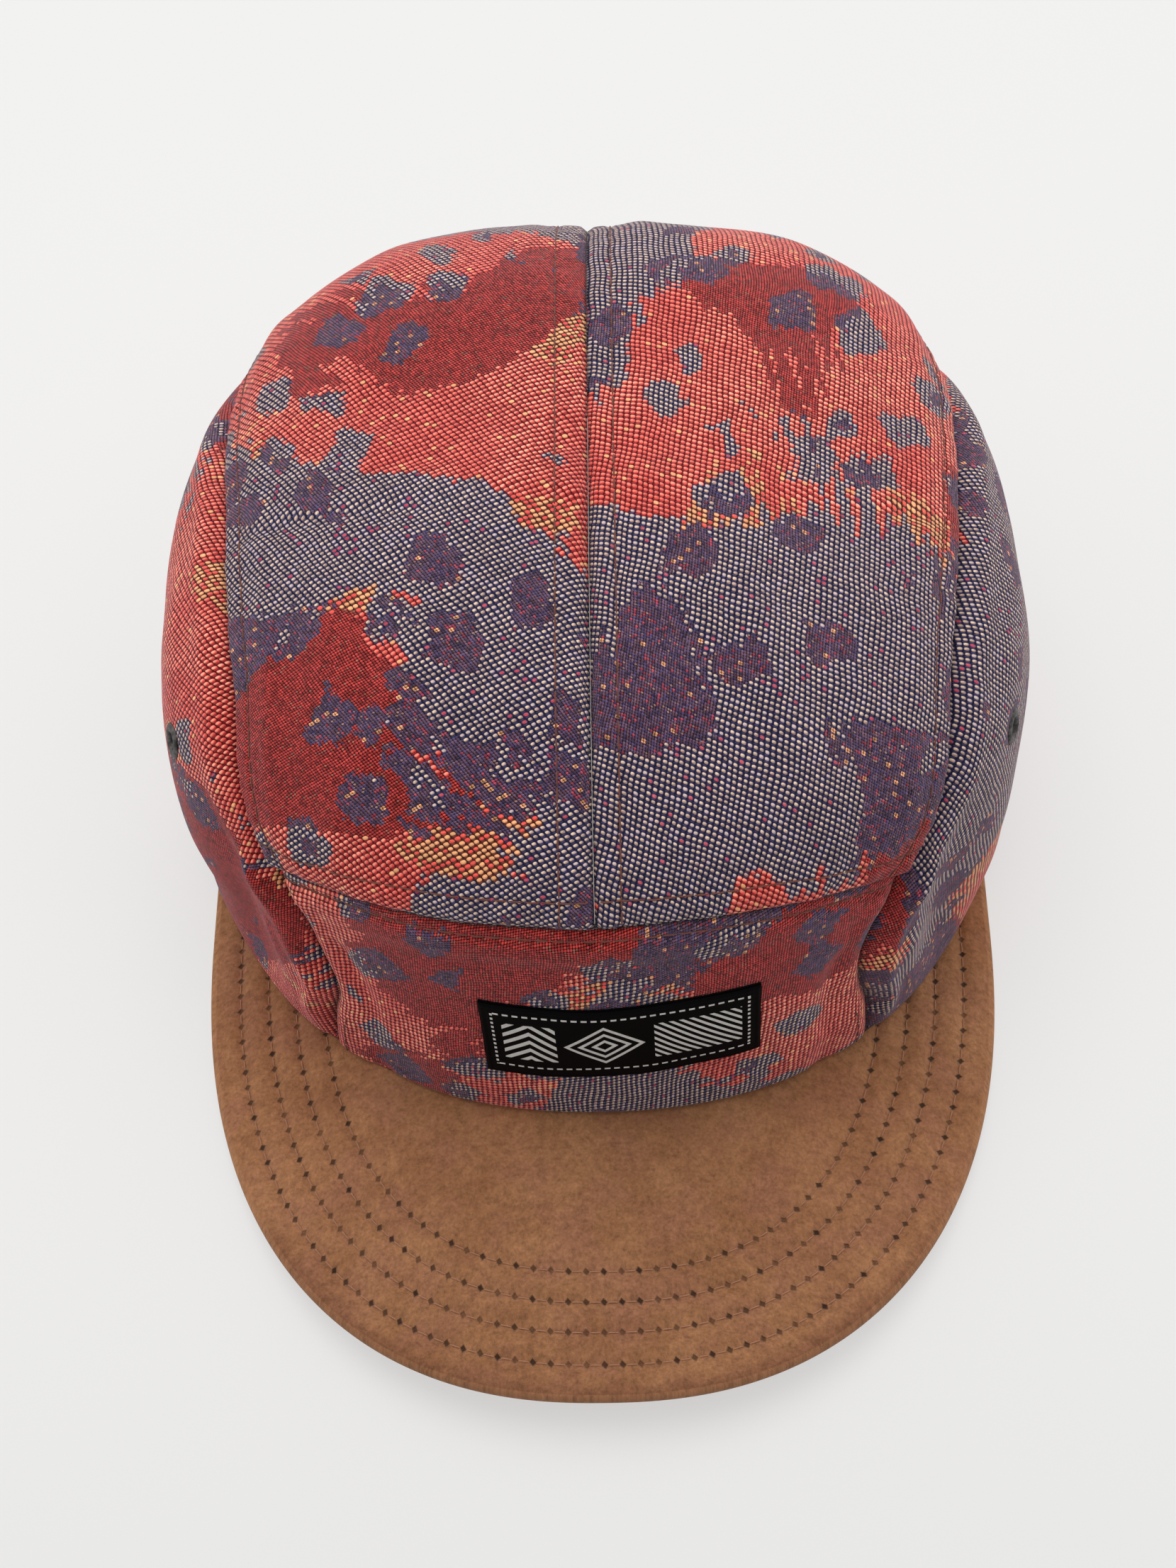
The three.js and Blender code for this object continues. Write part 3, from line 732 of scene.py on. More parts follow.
class Tree:
    """The nodes of a material or a world, with short calls for them."""

    def __init__(self, owner):
        owner.use_nodes = True
        self.owner = owner
        self.nodes = owner.node_tree.nodes
        self.links = owner.node_tree.links

    def put(self, socket, value):
        if isinstance(value, Wire):
            value = value.socket
        if isinstance(value, bpy.types.NodeSocket):
            self.links.new(value, socket)
        elif socket.type == "VECTOR":
            socket.default_value = tuple(value)[:3]
        else:
            socket.default_value = value

    def node(self, kind, inputs=None, **settings):
        made = self.nodes.new(kind)
        for key, value in settings.items():
            setattr(made, key, value)
        for key, value in (inputs or {}).items():
            self.put(made.inputs[key], value)
        return made

    def math(self, operation, *values):
        made = self.node("ShaderNodeMath", operation=operation)
        for socket, value in zip(made.inputs, values):
            self.put(socket, value)
        return Wire(self, made.outputs[0])

    def attribute(self, key, output="Vector"):
        return self.node("ShaderNodeAttribute", attribute_name=key).outputs[output]

    def place(self, output="Object"):
        return self.node("ShaderNodeTexCoord").outputs[output]

    def split(self, value, kind="XYZ"):
        """The three numbers of a vector, or of a colour."""
        made = self.node(f"ShaderNodeSeparate{kind}", {0: value})
        return [Wire(self, output) for output in made.outputs]

    def join(self, x, y, z=0.0):
        return self.node("ShaderNodeCombineXYZ", {0: x, 1: y, 2: z}).outputs[0]

    def step(self, value, low, high):
        made = self.node("ShaderNodeMapRange", {0: value, 1: low, 2: high}, interpolation_type="SMOOTHSTEP")
        return Wire(self, made.outputs[0])

    def mix(self, factor, first, second):
        made = self.node("ShaderNodeMix", {0: factor}, data_type="RGBA")
        self.put(made.inputs[6], first)
        self.put(made.inputs[7], second)
        return made.outputs[2]

    def noise(self, place, scale, detail=2.0, roughness=0.5, distortion=0.0):
        made = self.node("ShaderNodeTexNoise", {
            "Vector": place, "Scale": scale, "Detail": detail, "Roughness": roughness,
            "Distortion": distortion,
        })
        return Wire(self, made.outputs[0])

    def chance(self, place):
        made = self.node("ShaderNodeTexWhiteNoise", {"Vector": place}, noise_dimensions="3D")
        return self.split(made.outputs["Color"], "Color")

    def shade(self, colour, factor):
        """Multiplies a colour by a number."""
        return self.node("ShaderNodeVectorMath", {0: colour, "Scale": factor}, operation="SCALE").outputs[0]

    def finish(self, colour, roughness, height=None, distance=0.0002, **sockets):
        shader = self.nodes["Principled BSDF"]
        self.put(shader.inputs["Base Color"], colour)
        self.put(shader.inputs["Roughness"], roughness)
        for key, value in sockets.items():
            self.put(shader.inputs[key.replace("_", " ")], value)
        if height is not None:
            relief = self.node("ShaderNodeBump", {"Strength": 1.0, "Distance": distance, "Height": height})
            self.links.new(relief.outputs[0], shader.inputs["Normal"])
        return self.owner


def material_tree(name):
    return Tree(bpy.data.materials.new(name))


def paint(red, green, blue):
    """A colour from its 0 to 255 screen values."""
    def linear(value):
        value /= 255
        return value / 12.92 if value <= 0.04045 else ((value + 0.055) / 1.055) ** 2.4
    return (linear(red), linear(green), linear(blue), 1.0)


# The weave: each cell holds a raised dot and, below it, a flatter dash. Each row lies a little further along.
DOT_PITCH = 1.1
ROW_PITCH = 1.02
ROW_SHIFT = 0.27
DOT_HALF = (0.5, 0.38)
DOT_RISE = 0.13
DOT_LEAN = 0.25
DOT_LEAST = 0.9
DOT_GROWTH = 0.16
DOT_STRAY = (0.1, 0.06)
DASH_HALF = (0.43, 0.15)
DASH_DROP = 0.37
DASH_HEIGHT = 0.62
WEAVE_POWER = 2.6
CORAL_DOT = paint(230, 84, 76)
# Painted highlight on one side of each coral dot
CORAL_HIGHLIGHT = paint(253, 178, 148)
CORAL_DASH = paint(168, 40, 46)
SLATE_DOT = paint(156, 128, 119)
# Cream of the slate's dots, partly their own colour and partly a painted highlight on one side of each
SLATE_CREAM_HIGHLIGHT = paint(236, 210, 178)
SLATE_DASH = paint(62, 60, 98)
PLUM_DOT = paint(94, 80, 108)
PLUM_DASH = paint(128, 76, 78)
BRICK_DOT = paint(182, 60, 55)
BRICK_DASH = paint(132, 34, 36)
OCHRE = paint(236, 168, 118)
UMBER = paint(122, 62, 52)
CRIMSON = paint(176, 66, 80)
LILAC = paint(150, 138, 158)
NAVY = paint(50, 52, 96)
ROSE = paint(184, 150, 146)

# The design's fields of noise: shift, features for each millimetre, detail, distortion
DARK_FIELD = (0.0, 0.0135, 1.6, 0.35)
DEEP_FIELD = (51.0, 0.0165, 1.6, 0.3)
BRUSHED_FIELD = (80.0, 0.022, 1.0, 0.0)
GATHERED_FIELD = (20.0, 0.024, 1.0, 0.0)
WARM_FIELD = (64.0, 0.05, 1.0, 0.0)
GOLDEN_FIELD = (33.0, 0.03, 1.0, 0.0)

# Levels of those fields: a higher one gives less of the darker colours, deeper colours, spots or gold
DARK_LEVEL = 0.535
DEEP_LEVEL = 0.58
GATHERED_LEVEL = 0.665
GOLDEN_LEVEL = 0.58
GOLDEN_WIDTH = 0.026
SPOT_SIZE = 0.26
SPOT_GROWTH = 0.15

# Chances above which a single thread takes another colour
OCHRE_IN_CORAL = 0.966
LILAC_IN_SLATE = 0.8
CRIMSON_IN_SLATE = 0.965
CRIMSON_IN_PLUM = 0.9
ROSE_IN_PLUM = 0.96
OCHRE_IN_PLUM = 0.955
# Above this chance a fine brick thread takes a painted glint
GLINT_IN_BRICK = 0.95

# Brightness of the cloth, how much threads, fibres, wear and single fine threads change it, and the painted
# shade in the gaps between threads and along seams
CLOTH_TONE = 1.35
THREAD_TONE = 0.42
FIBRE_TONE = 0.5
WEAR_TONE = 0.2
SPECKLE_TONE = 1.2
THREAD_GAP_SHADE = 0.26
FINE_GAP_SHADE = 0.12
SEAM_SHADE = 0.42
THREAD_SWAY = 1.6


def woven(tree, x, y, seed):
    """Dots and dashes at one scale; x and y are in dot pitches and row pitches."""
    row = y.floor()
    along = x + row * ROW_SHIFT
    column = along.floor()
    one, two, three = tree.chance(tree.join(column, row, seed))
    a = (along.fract() - 0.5) * DOT_PITCH
    b = (y.fract() - 0.5) * ROW_PITCH

    def block(p, q, half):
        """1 in the middle of a rounded block with these half sizes, 0 at its edge and outside."""
        return (1.0 - (abs(p / half[0]) ** WEAVE_POWER + abs(q / half[1]) ** WEAVE_POWER)).at_least(0.0)
    size = DOT_LEAST + three * DOT_GROWTH
    across = (a + b * DOT_LEAN + (one - 0.5) * DOT_STRAY[0]) / size
    upwards = (b - DOT_RISE + (two - 0.5) * DOT_STRAY[1]) / size
    dot = block(across, upwards, DOT_HALF)
    dash = block(a, b + DASH_DROP, DASH_HALF)
    return {
        "centre": (column + 0.5 - row * ROW_SHIFT, row + 0.5),
        "chance": (one, two, three),
        "dot": dot > 0.0,
        "core": dot,
        "slant": b * 0.9 - a * 0.5,
        "height": (dot ** 0.55).at_least(dash ** 0.55 * DASH_HEIGHT),
    }


def cloth_material():
    tree = material_tree("crown_cloth")
    u, v, seed = tree.split(tree.attribute("cloth"))
    lay = tree.join(u, v, seed * 37.0)
    sway = tree.noise(lay, 0.09, 1.0) - 0.5
    drift = tree.noise(tree.join(u, v, seed * 37.0 + 9.0), 0.09, 1.0) - 0.5
    x = (u + sway * THREAD_SWAY) / DOT_PITCH
    y = (v + drift * THREAD_SWAY) / ROW_PITCH
    coarse = woven(tree, x, y, seed)
    fine = woven(tree, x * 2.0, y * 2.0, seed + 7.0)
    one, two, three = coarse["chance"]
    place_x = coarse["centre"][0] * DOT_PITCH
    place_y = coarse["centre"][1] * ROW_PITCH

    def field_noise(shift, scale, detail, distortion):
        return tree.noise(tree.join(place_x, place_y, seed * 3.0 + shift), scale, detail, 0.4, distortion)

    # Large patches; some of their edges are brushed into streaks
    field = field_noise(*DARK_FIELD)
    brush = tree.join(place_x * 0.34 + place_y * 0.2, place_y * 0.05 - place_x * 0.03, seed)
    streaks = tree.noise(brush, 1.0)
    brushed = tree.step(field_noise(*BRUSHED_FIELD), 0.46, 0.62)
    ragged = (streaks - 0.5) * (0.05 + brushed * 0.2) + (one - 0.5) * 0.012
    dark = (field + ragged) > DARK_LEVEL
    deep = (field_noise(*DEEP_FIELD) + ragged) > DEEP_LEVEL
    plain = 1.0 - deep

    # Groups of rounded lozenges on the patches
    cells = tree.node("ShaderNodeTexVoronoi", {
        "Vector": tree.join(place_x * 0.07 + sway * 0.5, place_y * 0.062 + drift * 0.5, seed * 5.0),
        "Scale": 1.0, "Randomness": 0.75, "Exponent": 1.4,
    }, distance="MINKOWSKI", voronoi_dimensions="2D")
    crowd, growth, hollow = tree.split(cells.outputs["Color"], "Color")
    away = Wire(tree, cells.outputs["Distance"]) + (two - 0.5) * 0.05 + (streaks - 0.5) * 0.3
    size = SPOT_SIZE + growth * SPOT_GROWTH
    spot = (away < size) * ((field_noise(*GATHERED_FIELD) + crowd * 0.28) > GATHERED_LEVEL)
    heart = (away < size * 0.4) * spot * (hollow > 0.5)

    # Which of the four weaves each dot belongs to
    slate = (abs(dark - spot) * plain + dark * deep * spot) * (1.0 - heart)
    plum = dark * deep * (1.0 - spot) + dark * plain * spot + (1.0 - dark) * deep * spot
    plum = plum.at_least(heart)
    brick = (1.0 - dark) * deep * (1.0 - spot)

    # Colours of each weave
    warm = tree.step(field_noise(*WARM_FIELD), 0.4, 0.65)
    # Painted highlight: each dot is lighter on one side, on the coral as strongly as the warm field gives; on
    # the slate this side is partly the dots' own cream
    tip = tree.step(coarse["slant"] + (two - 0.5) * 0.3, -0.15, 0.4)
    coral = tree.mix(tip * (0.34 + warm * 0.45), tree.mix(one * 0.4, CORAL_DOT, CORAL_DASH), CORAL_HIGHLIGHT)
    coral = tree.mix(coarse["dot"], CORAL_DASH, coral)
    coral = tree.mix((three > OCHRE_IN_CORAL) * coarse["dot"], coral, OCHRE)
    cream = tree.mix(tip * 0.7, SLATE_DOT, SLATE_CREAM_HIGHLIGHT)
    cream = tree.mix((two > LILAC_IN_SLATE) * 0.45, cream, LILAC)
    cream = tree.mix(three > CRIMSON_IN_SLATE, cream, CRIMSON)
    grey = tree.mix(tree.step(coarse["core"], 0.32, 0.72), SLATE_DASH, cream)
    first, second, third = fine["chance"]
    dusk = tree.mix(fine["dot"], PLUM_DASH, PLUM_DOT)
    dusk = tree.mix(tree.step(third, 0.4, 0.7) * 0.5, dusk, NAVY)
    dusk = tree.mix((first > CRIMSON_IN_PLUM) * 0.75, dusk, CRIMSON)
    dusk = tree.mix((second > ROSE_IN_PLUM) * fine["dot"], dusk, ROSE)
    dusk = tree.mix((three > OCHRE_IN_PLUM) * (coarse["core"] > 0.2) * plum, dusk, OCHRE)
    red = tree.mix(fine["dot"], BRICK_DASH, BRICK_DOT)
    # Painted glints: a few fine brick threads take the coral highlight
    red = tree.mix((second > GLINT_IN_BRICK) * fine["dot"] * 0.35, red, CORAL_HIGHLIGHT)
    colour = tree.mix(slate, coral, grey)
    colour = tree.mix(plum, colour, dusk)
    colour = tree.mix(brick, colour, red)

    # Golden threads along some edges of the dark patches
    near_edge = abs(field + ragged - DARK_LEVEL) < GOLDEN_WIDTH
    golden = near_edge * (field_noise(*GOLDEN_FIELD) > GOLDEN_LEVEL) * plain * (1.0 - spot)
    gold = tree.mix(coarse["dot"], UMBER, tree.mix(one > 0.3, CORAL_DOT, OCHRE))
    colour = tree.mix(golden, colour, gold)
    fineness = (plum + brick) * (1.0 - golden)

    # Rounded threads with painted shade: each is lit on its raised middle and darker down in the gaps between
    # them
    height = coarse["height"] + (fine["height"] * 0.6 - coarse["height"]) * fineness
    lit = coarse["height"] + (fine["height"] - coarse["height"]) * fineness
    gap = THREAD_GAP_SHADE - fineness * FINE_GAP_SHADE
    lit = gap + (1.0 - gap) * tree.step(lit, 0.0, 0.7)
    speckle = fineness * (0.5 - second) * SPECKLE_TONE
    fibre = tree.noise(tree.join(u * 3.0, v * 3.0, seed), 2.2) - 0.5
    wear = tree.noise(lay, 0.05, 3.0) - 0.5
    # Painted shade: the cloth darkens close to each seam, as if the seam's groove were in shade
    near_seam = Wire(tree, tree.attribute("seam", "Fac"))
    painted_seam_shade = SEAM_SHADE + (1.0 - SEAM_SHADE) * tree.step(near_seam, 0.15, 1.3)
    tone = CLOTH_TONE + (two - 0.5) * THREAD_TONE + fibre * FIBRE_TONE + wear * WEAR_TONE + speckle
    return tree.finish(
        tree.shade(colour, lit * tone * painted_seam_shade), 0.92, height + fibre * 0.16, 0.0003,
        Sheen_Weight=0.5, Sheen_Roughness=0.24, Sheen_Tint=(1.0, 0.88, 0.95, 1.0), Specular_IOR_Level=0.1,
    )


SUEDE_LIGHT = paint(164, 116, 81)
SUEDE_DARK = paint(146, 100, 68)
SUEDE_ROSY = paint(151, 102, 80)
SUEDE_RIM_SHADE = paint(124, 81, 59)
SUEDE_HOLE_SHADE = paint(48, 28, 20)
HOLE_RADIUS = 0.62

# Brightness of the suede: what all of it has, and the shares of its nap, grain, flecks and the painted shade
# on its tip
SUEDE_TONE = -0.24
NAP_TONE = 1.0
GRAIN_TONE = 0.44
FLECK_TONE = 1.1
TIP_SHADE_STRENGTH = 0.08
TIP_SHADE = (100.0, 145.0)
TIP_RIM_SHADE = (105.0, 128.0)


def suede_material():
    tree = material_tree("brim_suede")
    x, y, face = tree.split(tree.attribute("suede"))
    rim, phase, number = tree.split(tree.attribute("row"))
    row = 0.0
    close = 0.0
    for place in BRIM_ROWS:
        gap = rim - place
        near = abs(gap) < BRIM_ROW_HALF
        row = gap * near + row
        close = near + close
    row = row + (1.0 - close * (1.0 - face)) * BRIM_ROW_HALF
    lay = tree.join(x, y, face * 40.0)
    blotch = tree.noise(lay, 0.16)
    nap = tree.noise(lay, 1.6, 3.0, 0.6)
    grain = tree.noise(lay, 6.0, 2.0, 0.6)
    fleck = tree.noise(lay, 0.6, 3.0, 0.65)
    mark = tree.noise(lay, 0.05, 3.0) * 0.55 + blotch * 0.45
    rosy = tree.noise(tree.join(x, y, face * 40.0 + 7.0), 0.11, 3.0, 0.6)
    forward = y * -1.0
    # Painted shade: a darker band along the edge near the tip, as if the edge turned away from the light
    turned = (1.0 - tree.step(rim + blotch * 3.0, 2.0, 6.0)) * tree.step(forward, *TIP_RIM_SHADE)
    raw = (1.0 - tree.step(rim, 0.3, 1.1)) * (1.0 - face)
    colour = tree.mix(tree.step(mark, 0.34, 0.66), SUEDE_DARK, SUEDE_LIGHT)
    colour = tree.mix(tree.step(rosy, 0.42, 0.68) * 0.5, colour, SUEDE_ROSY)
    colour = tree.mix(turned * 0.75, colour, SUEDE_RIM_SHADE)
    colour = tree.mix(raw * 0.5, colour, SUEDE_LIGHT)
    tone = SUEDE_TONE + nap * NAP_TONE + grain * GRAIN_TONE + fleck * FLECK_TONE
    # Painted shade: the suede darkens towards the tip
    colour = tree.shade(colour, tone - tree.step(forward, *TIP_SHADE) * TIP_SHADE_STRENGTH)

    # Needle holes in step with the stitches, painted dark as the shade inside them, and the crease that each
    # row pulls, with painted shade along it
    along = ((phase + 0.5).fract() - 0.5) * BRIM_PITCH
    chance = tree.chance(tree.join((phase + 0.5).floor(), number, 3.0))[0]
    away = abs(row) * 0.9 + abs(along + row * 0.2)
    hole = (1.0 - tree.step(away, HOLE_RADIUS * 0.6, HOLE_RADIUS * 1.4)) * (0.5 + chance * 0.5)
    painted_crease_shade = 1.0 - tree.step(abs(row), 0.0, 0.8)
    colour = tree.mix(hole * 0.96, tree.shade(colour, 1.0 - painted_crease_shade * 0.07), SUEDE_HOLE_SHADE)
    height = nap * 0.4 + grain * 0.4 + fleck * 0.3 + blotch * 0.1 - hole * 2.0
    return tree.finish(
        colour, 0.95, height, 0.00022,
        Sheen_Weight=0.16, Sheen_Roughness=0.5, Sheen_Tint=(1.0, 0.88, 0.76, 1.0), Specular_IOR_Level=0.1,
    )


def thread_material(name, colour):
    tree = material_tree(name)
    ply = tree.noise(tree.place(), 2600.0, 2.0, 0.6)
    return tree.finish(
        tree.shade(colour, 0.7 + ply * 0.6), 0.7, ply, 0.00004,
        Sheen_Weight=0.2, Sheen_Roughness=0.5, Specular_IOR_Level=0.3,
    )


LABEL_BLACK = paint(8, 8, 10)
LABEL_WHITE = paint(222, 220, 216)
BORDER_SIDE = 2.5
BORDER_TOP = 2.3
BORDER_FOOT = 3.8
BORDER_HALF_WIDTH = 0.26
BORDER_DASH = 1.9
BORDER_DOT = 1.45
RIB_PITCH = (0.34, 0.3)

# The label's three fields: place of the middle, half width, half height, pitch of the lines
CHEVRONS = (-18.0, 5.2, 6.0, 2.7)
CHEVRON_SLOPE = 0.8
LOZENGES = (-3.4, 8.0, 6.6, 3.0)
BARS = (15.0, 8.6, 5.8, 2.0)
LINE_SHARE = 0.46


def label_material():
    """A black woven label with a dashed border and three plain geometric fields."""
    tree = material_tree("label_weave")
    x, y, face = tree.split(tree.attribute("label"))
    raised = y - (BORDER_FOOT - BORDER_TOP) / 2
    to_side = abs(x) - (LABEL_WIDTH / 2 - BORDER_SIDE)
    to_top = abs(raised) - (LABEL_HEIGHT - BORDER_TOP - BORDER_FOOT) / 2
    on_side = (abs(to_side) < BORDER_HALF_WIDTH) * (to_top < BORDER_HALF_WIDTH)
    on_top = (abs(to_top) < BORDER_HALF_WIDTH) * (to_side < BORDER_HALF_WIDTH)
    ink = on_top * ((x / BORDER_DASH).fract() < 0.6) + on_side * ((y / BORDER_DOT).fract() < 0.5)

    # Chevrons on the left and slanted bars on the right, then nested lozenges in the middle
    for lines, folded in ((CHEVRONS, True), (BARS, False)):
        middle, half_width, half_height, pitch = lines
        beside = x - middle
        slope = abs(beside) * CHEVRON_SLOPE if folded else beside
        inside = (abs(beside) < half_width) * (abs(raised) < half_height)
        ink = ink + (((raised + slope) / pitch).fract() < LINE_SHARE) * inside
    middle, half_width, half_height, rings = LOZENGES
    diamond = abs(x - middle) / half_width + abs(raised) / half_height
    ink = ink + ((diamond * rings).fract() > 0.58) * (diamond < 1.0)
    ink = ink.at_most(1.0) * face
    rib_x, rib_y = (tree.math("SINE", side * (2 * math.pi / pitch)) for side, pitch in zip((x, y), RIB_PITCH))
    weave = rib_x * rib_y
    fuzz = tree.noise(tree.join(x, y, 3.0), 1.4)
    colour = tree.shade(tree.mix(ink, LABEL_BLACK, LABEL_WHITE), 0.86 + weave * 0.1 + fuzz * 0.2)
    return tree.finish(
        colour, 0.62, weave * 0.5 + ink * 0.9, 0.00007,
        Sheen_Weight=0.0, Specular_IOR_Level=0.04,
    )


def metal_material():
    tree = material_tree("eyelet_metal")
    wear = tree.noise(tree.place(), 900.0, 3.0, 0.6)
    colour = tree.mix(tree.step(wear, 0.35, 0.7), paint(52, 50, 50), paint(104, 100, 98))
    return tree.finish(colour, 0.42 + wear * 0.2, wear, 0.00003, Metallic=0.75)


CLOTH_FINISH = cloth_material()
SUEDE_FINISH = suede_material()
TOPSTITCH_FINISH = thread_material("topstitch_thread", paint(112, 62, 50))
BRIM_THREAD_FINISH = thread_material("brim_thread", paint(164, 114, 84))
LABEL_FINISH = label_material()
METAL_FINISH = metal_material()


def dress(piece, slot, *nodes):
    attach(piece, "root")
    if nodes:
        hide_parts(*nodes)
    return piece


for name, panel in panels.items():
    panel.values = {
        "cloth": both_faces(panel.cloth, panel.cloth),
        "seam": np.tile(panel.nearest_seam.ravel(), 2),
    }
    points = both_faces(panel.outer, panel.inner)
    piece = make_mesh(f"{name}_cloth", points, grid_faces(*panel.u.shape), CLOTH_FINISH, panel.values)
    panel.piece = dress(piece, "crown_cloth", name)


# Eyelets: a rolled flange on each face of the cloth and a short tube through it, as radius, height
EYELET_PROFILE = [
    (EYELET_INNER, 0.9), (EYELET_INNER + 0.35, 1.3), (EYELET_INNER + 0.9, 1.48), (EYELET_OUTER - 0.7, 1.38),
    (EYELET_OUTER - 0.15, 1.1), (EYELET_OUTER, 0.82), (EYELET_OUTER - 0.3, 0.7), (EYELET_HOLE, 0.66),
    (EYELET_HOLE - 0.05, -0.6), (EYELET_OUTER - 0.5, -0.75), (EYELET_OUTER - 0.4, -1.0),
    (EYELET_OUTER - 0.9, -1.3), (EYELET_INNER + 0.5, -1.3), (EYELET_INNER, -0.9),
]
CUTTER_PROFILE = [(0.01, -8), (EYELET_HOLE, -8), (EYELET_HOLE, 8), (0.01, 8)]
EYELET_SIDES = 56
CUTTER_SIDES = 40
EYELET_WINDOW = 6


def lathe(name, profile, sides, centre, axis):
    """A closed metal ring round an axis from radius and height pairs."""
    radius, height = np.array(profile, float).T
    angle = np.arange(sides)[:, None] * 2 * math.pi / sides
    rings = np.stack([radius * np.cos(angle), radius * np.sin(angle), height + angle * 0], -1)
    turn = Vector((0, 0, 1)).rotation_difference(Vector(axis)).to_matrix()
    at = np.arange(sides * len(radius)).reshape(sides, -1)
    after = np.roll(at, -1, 0)
    faces = np.stack([at, after, np.roll(after, -1, 1), np.roll(at, -1, 1)], -1).reshape(-1, 4)
    return make_mesh(name, rings.reshape(-1, 3) @ np.array(turn).T + centre, faces.tolist(), METAL_FINISH)


def eyelet_place(name, panel):
    """Middle and axis of an eyelet: the CAD piece's middle, moved on to the fine cloth."""
    low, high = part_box(name)
    middle = np.array((low + high) / 2) / MM - [0, SHIFT_Y, 0]
    gap = ((panel.outer - middle) ** 2).sum(-1)
    i, j = np.unravel_index(gap.argmin(), gap.shape)
    window = panel.normal[i - EYELET_WINDOW:i + EYELET_WINDOW + 1, j - EYELET_WINDOW:j + EYELET_WINDOW + 1]
    axis = unit(window.reshape(-1, 3).mean(0))
    return panel.outer[i, j] - axis * CLOTH / 2, axis


def cut_hole(piece, values, centre, axis):
    """Cuts a round hole through a panel and gives the new points the nearest old points' values."""
    tree = kdtree.KDTree(len(piece.data.vertices))
    for k, vertex in enumerate(piece.data.vertices):
        tree.insert(vertex.co, k)
    tree.balance()
    cutter = lathe("cutter", CUTTER_PROFILE, CUTTER_SIDES, centre, axis)
    modifier = piece.modifiers.new("hole", "BOOLEAN")
    modifier.operation = "DIFFERENCE"
    modifier.solver = "EXACT"
    modifier.object = cutter
    bpy.context.view_layer.update()
    shaped = piece.evaluated_get(bpy.context.evaluated_depsgraph_get())
    after = bpy.data.meshes.new_from_object(shaped)
    piece.modifiers.clear()
    piece.data = after
    bpy.data.objects.remove(cutter)
    nearest = [tree.find(vertex.co)[1] for vertex in after.vertices]
    for key, known in values.items():
        if key in after.attributes:
            after.attributes.remove(after.attributes[key])
        set_attribute(after, key, known[nearest])
    after.shade_smooth()


for side in ("left", "right"):
    panel = panels[f"side_panel_{side}"]
    centre, axis = eyelet_place(f"eyelet_{side}", panel)
    cut_hole(panel.piece, panel.values, centre, axis)
    ring = lathe(f"eyelet_{side}_ring", EYELET_PROFILE, EYELET_SIDES, centre, axis)
    dress(ring, "eyelet_metal", f"eyelet_{side}")


STITCH_RINGS = 7
STITCH_SIDES = 6


def stitches(name, lines, thread, material, slot):
    """One piece of short threads that rise from a needle hole and dip into the next.

    lines holds the points and normals of each row.
    """
    pitch, radius, dip, share = thread
    along = np.linspace(0, 1, STITCH_RINGS)
    lift = radius * 0.75 - dip * np.abs(2 * along - 1) ** 4
    thick = radius * (1 - 0.45 * np.abs(2 * along - 1) ** 6)
    turn = np.arange(STITCH_SIDES) * 2 * math.pi / STITCH_SIDES
    rings = []
    for row in lines:
        length = running(row[0])
        count = max(1, round(length[-1] / pitch))
        step = length[-1] / count
        wanted = (np.arange(count)[:, None] + (1 - share) / 2 + along * share) * step
        centre, normal = (
            np.stack([np.interp(wanted, length, line) for line in values.T], -1) for values in row)
        normal = unit(normal)
        sideways = np.cross(unit(np.gradient(centre, axis=1)), normal)
        centre = centre + normal * lift[:, None]
        ring = (centre[:, :, None] + sideways[:, :, None] * (np.cos(turn) * thick[:, None])[..., None]
                + normal[:, :, None] * (np.sin(turn) * thick[:, None])[..., None])
        rings.append(ring.reshape(-1, 3))
    points = np.concatenate(rings)
    size = STITCH_RINGS * STITCH_SIDES
    at = np.arange(size).reshape(STITCH_RINGS, STITCH_SIDES)
    after = np.roll(at, -1, 1)
    quads = np.stack([at[:-1], after[:-1], after[1:], at[1:]], -1).reshape(-1, 4)
    faces = []
    for base in range(0, len(points), size):
        faces += (quads + base).tolist()
        faces += [(at[0, ::-1] + base).tolist(), (at[-1] + base).tolist()]
    dress(make_mesh(name, points, faces, material), slot)


crown_lines = []
for panel in panels.values():
    for kind, edge, _ in TOPSTITCH:
        if kind == panel.name:
            crown_lines.append(panel.stitch_line(edge, stitch_distance(kind, edge, panel.mirror)))
for edge in ("start", "end"):
    points, normals = panels["front_panel"].stitch_line(edge, CORNER_STITCH)
    low = points[:, 2] < CORNER_STITCH_TOP
    crown_lines.append((points[low], normals[low]))
stitches("crown_topstitching", crown_lines, CROWN_THREAD, TOPSTITCH_FINISH, "crown_cloth")


# The peak: cells, its rounded edge, and how the cells crowd at the corners and at the edge
BRIM_AROUND = 300
BRIM_ACROSS = 84
BRIM_ROUNDING = 1.45
EDGE_STEPS = 9
EDGE_POINTS = 2400
RIM_POINTS = 400
CORNER_CROWDING = 0.28
EDGE_CROWDING = 1.15

# Relief beside each row of stitches, depth or height and width, and how far from the edge it is whole
BRIM_GROOVE = (0.3, 0.8)
BRIM_PUFF = (0.14, 3.05)
BRIM_FADE = 5.0
HOLE_MARGIN = 0.6


def brim_edge(angle):
    turn = np.radians(np.minimum(np.abs(angle), 90))
    power = 2 / BRIM_SQUARENESS
    x = BRIM_HALF_WIDTH * signed_power(np.sin(turn), power) * np.sign(angle)
    y = BRIM_PIVOT_Y - BRIM_REACH * np.maximum(0, np.cos(turn)) ** power
    return np.stack([x, y + np.maximum(0, np.abs(angle) - 90)], -1)


def raised(plan, height):
    return np.concatenate([plan, height[..., None]], -1)


def round_axis(points):
    """Turn and reach of points round the crown's axis."""
    x, y = points[:, 0], points[:, 1] - CROWN_AXIS_Y
    return np.degrees(np.arctan2(x, -y)), np.hypot(x, y)


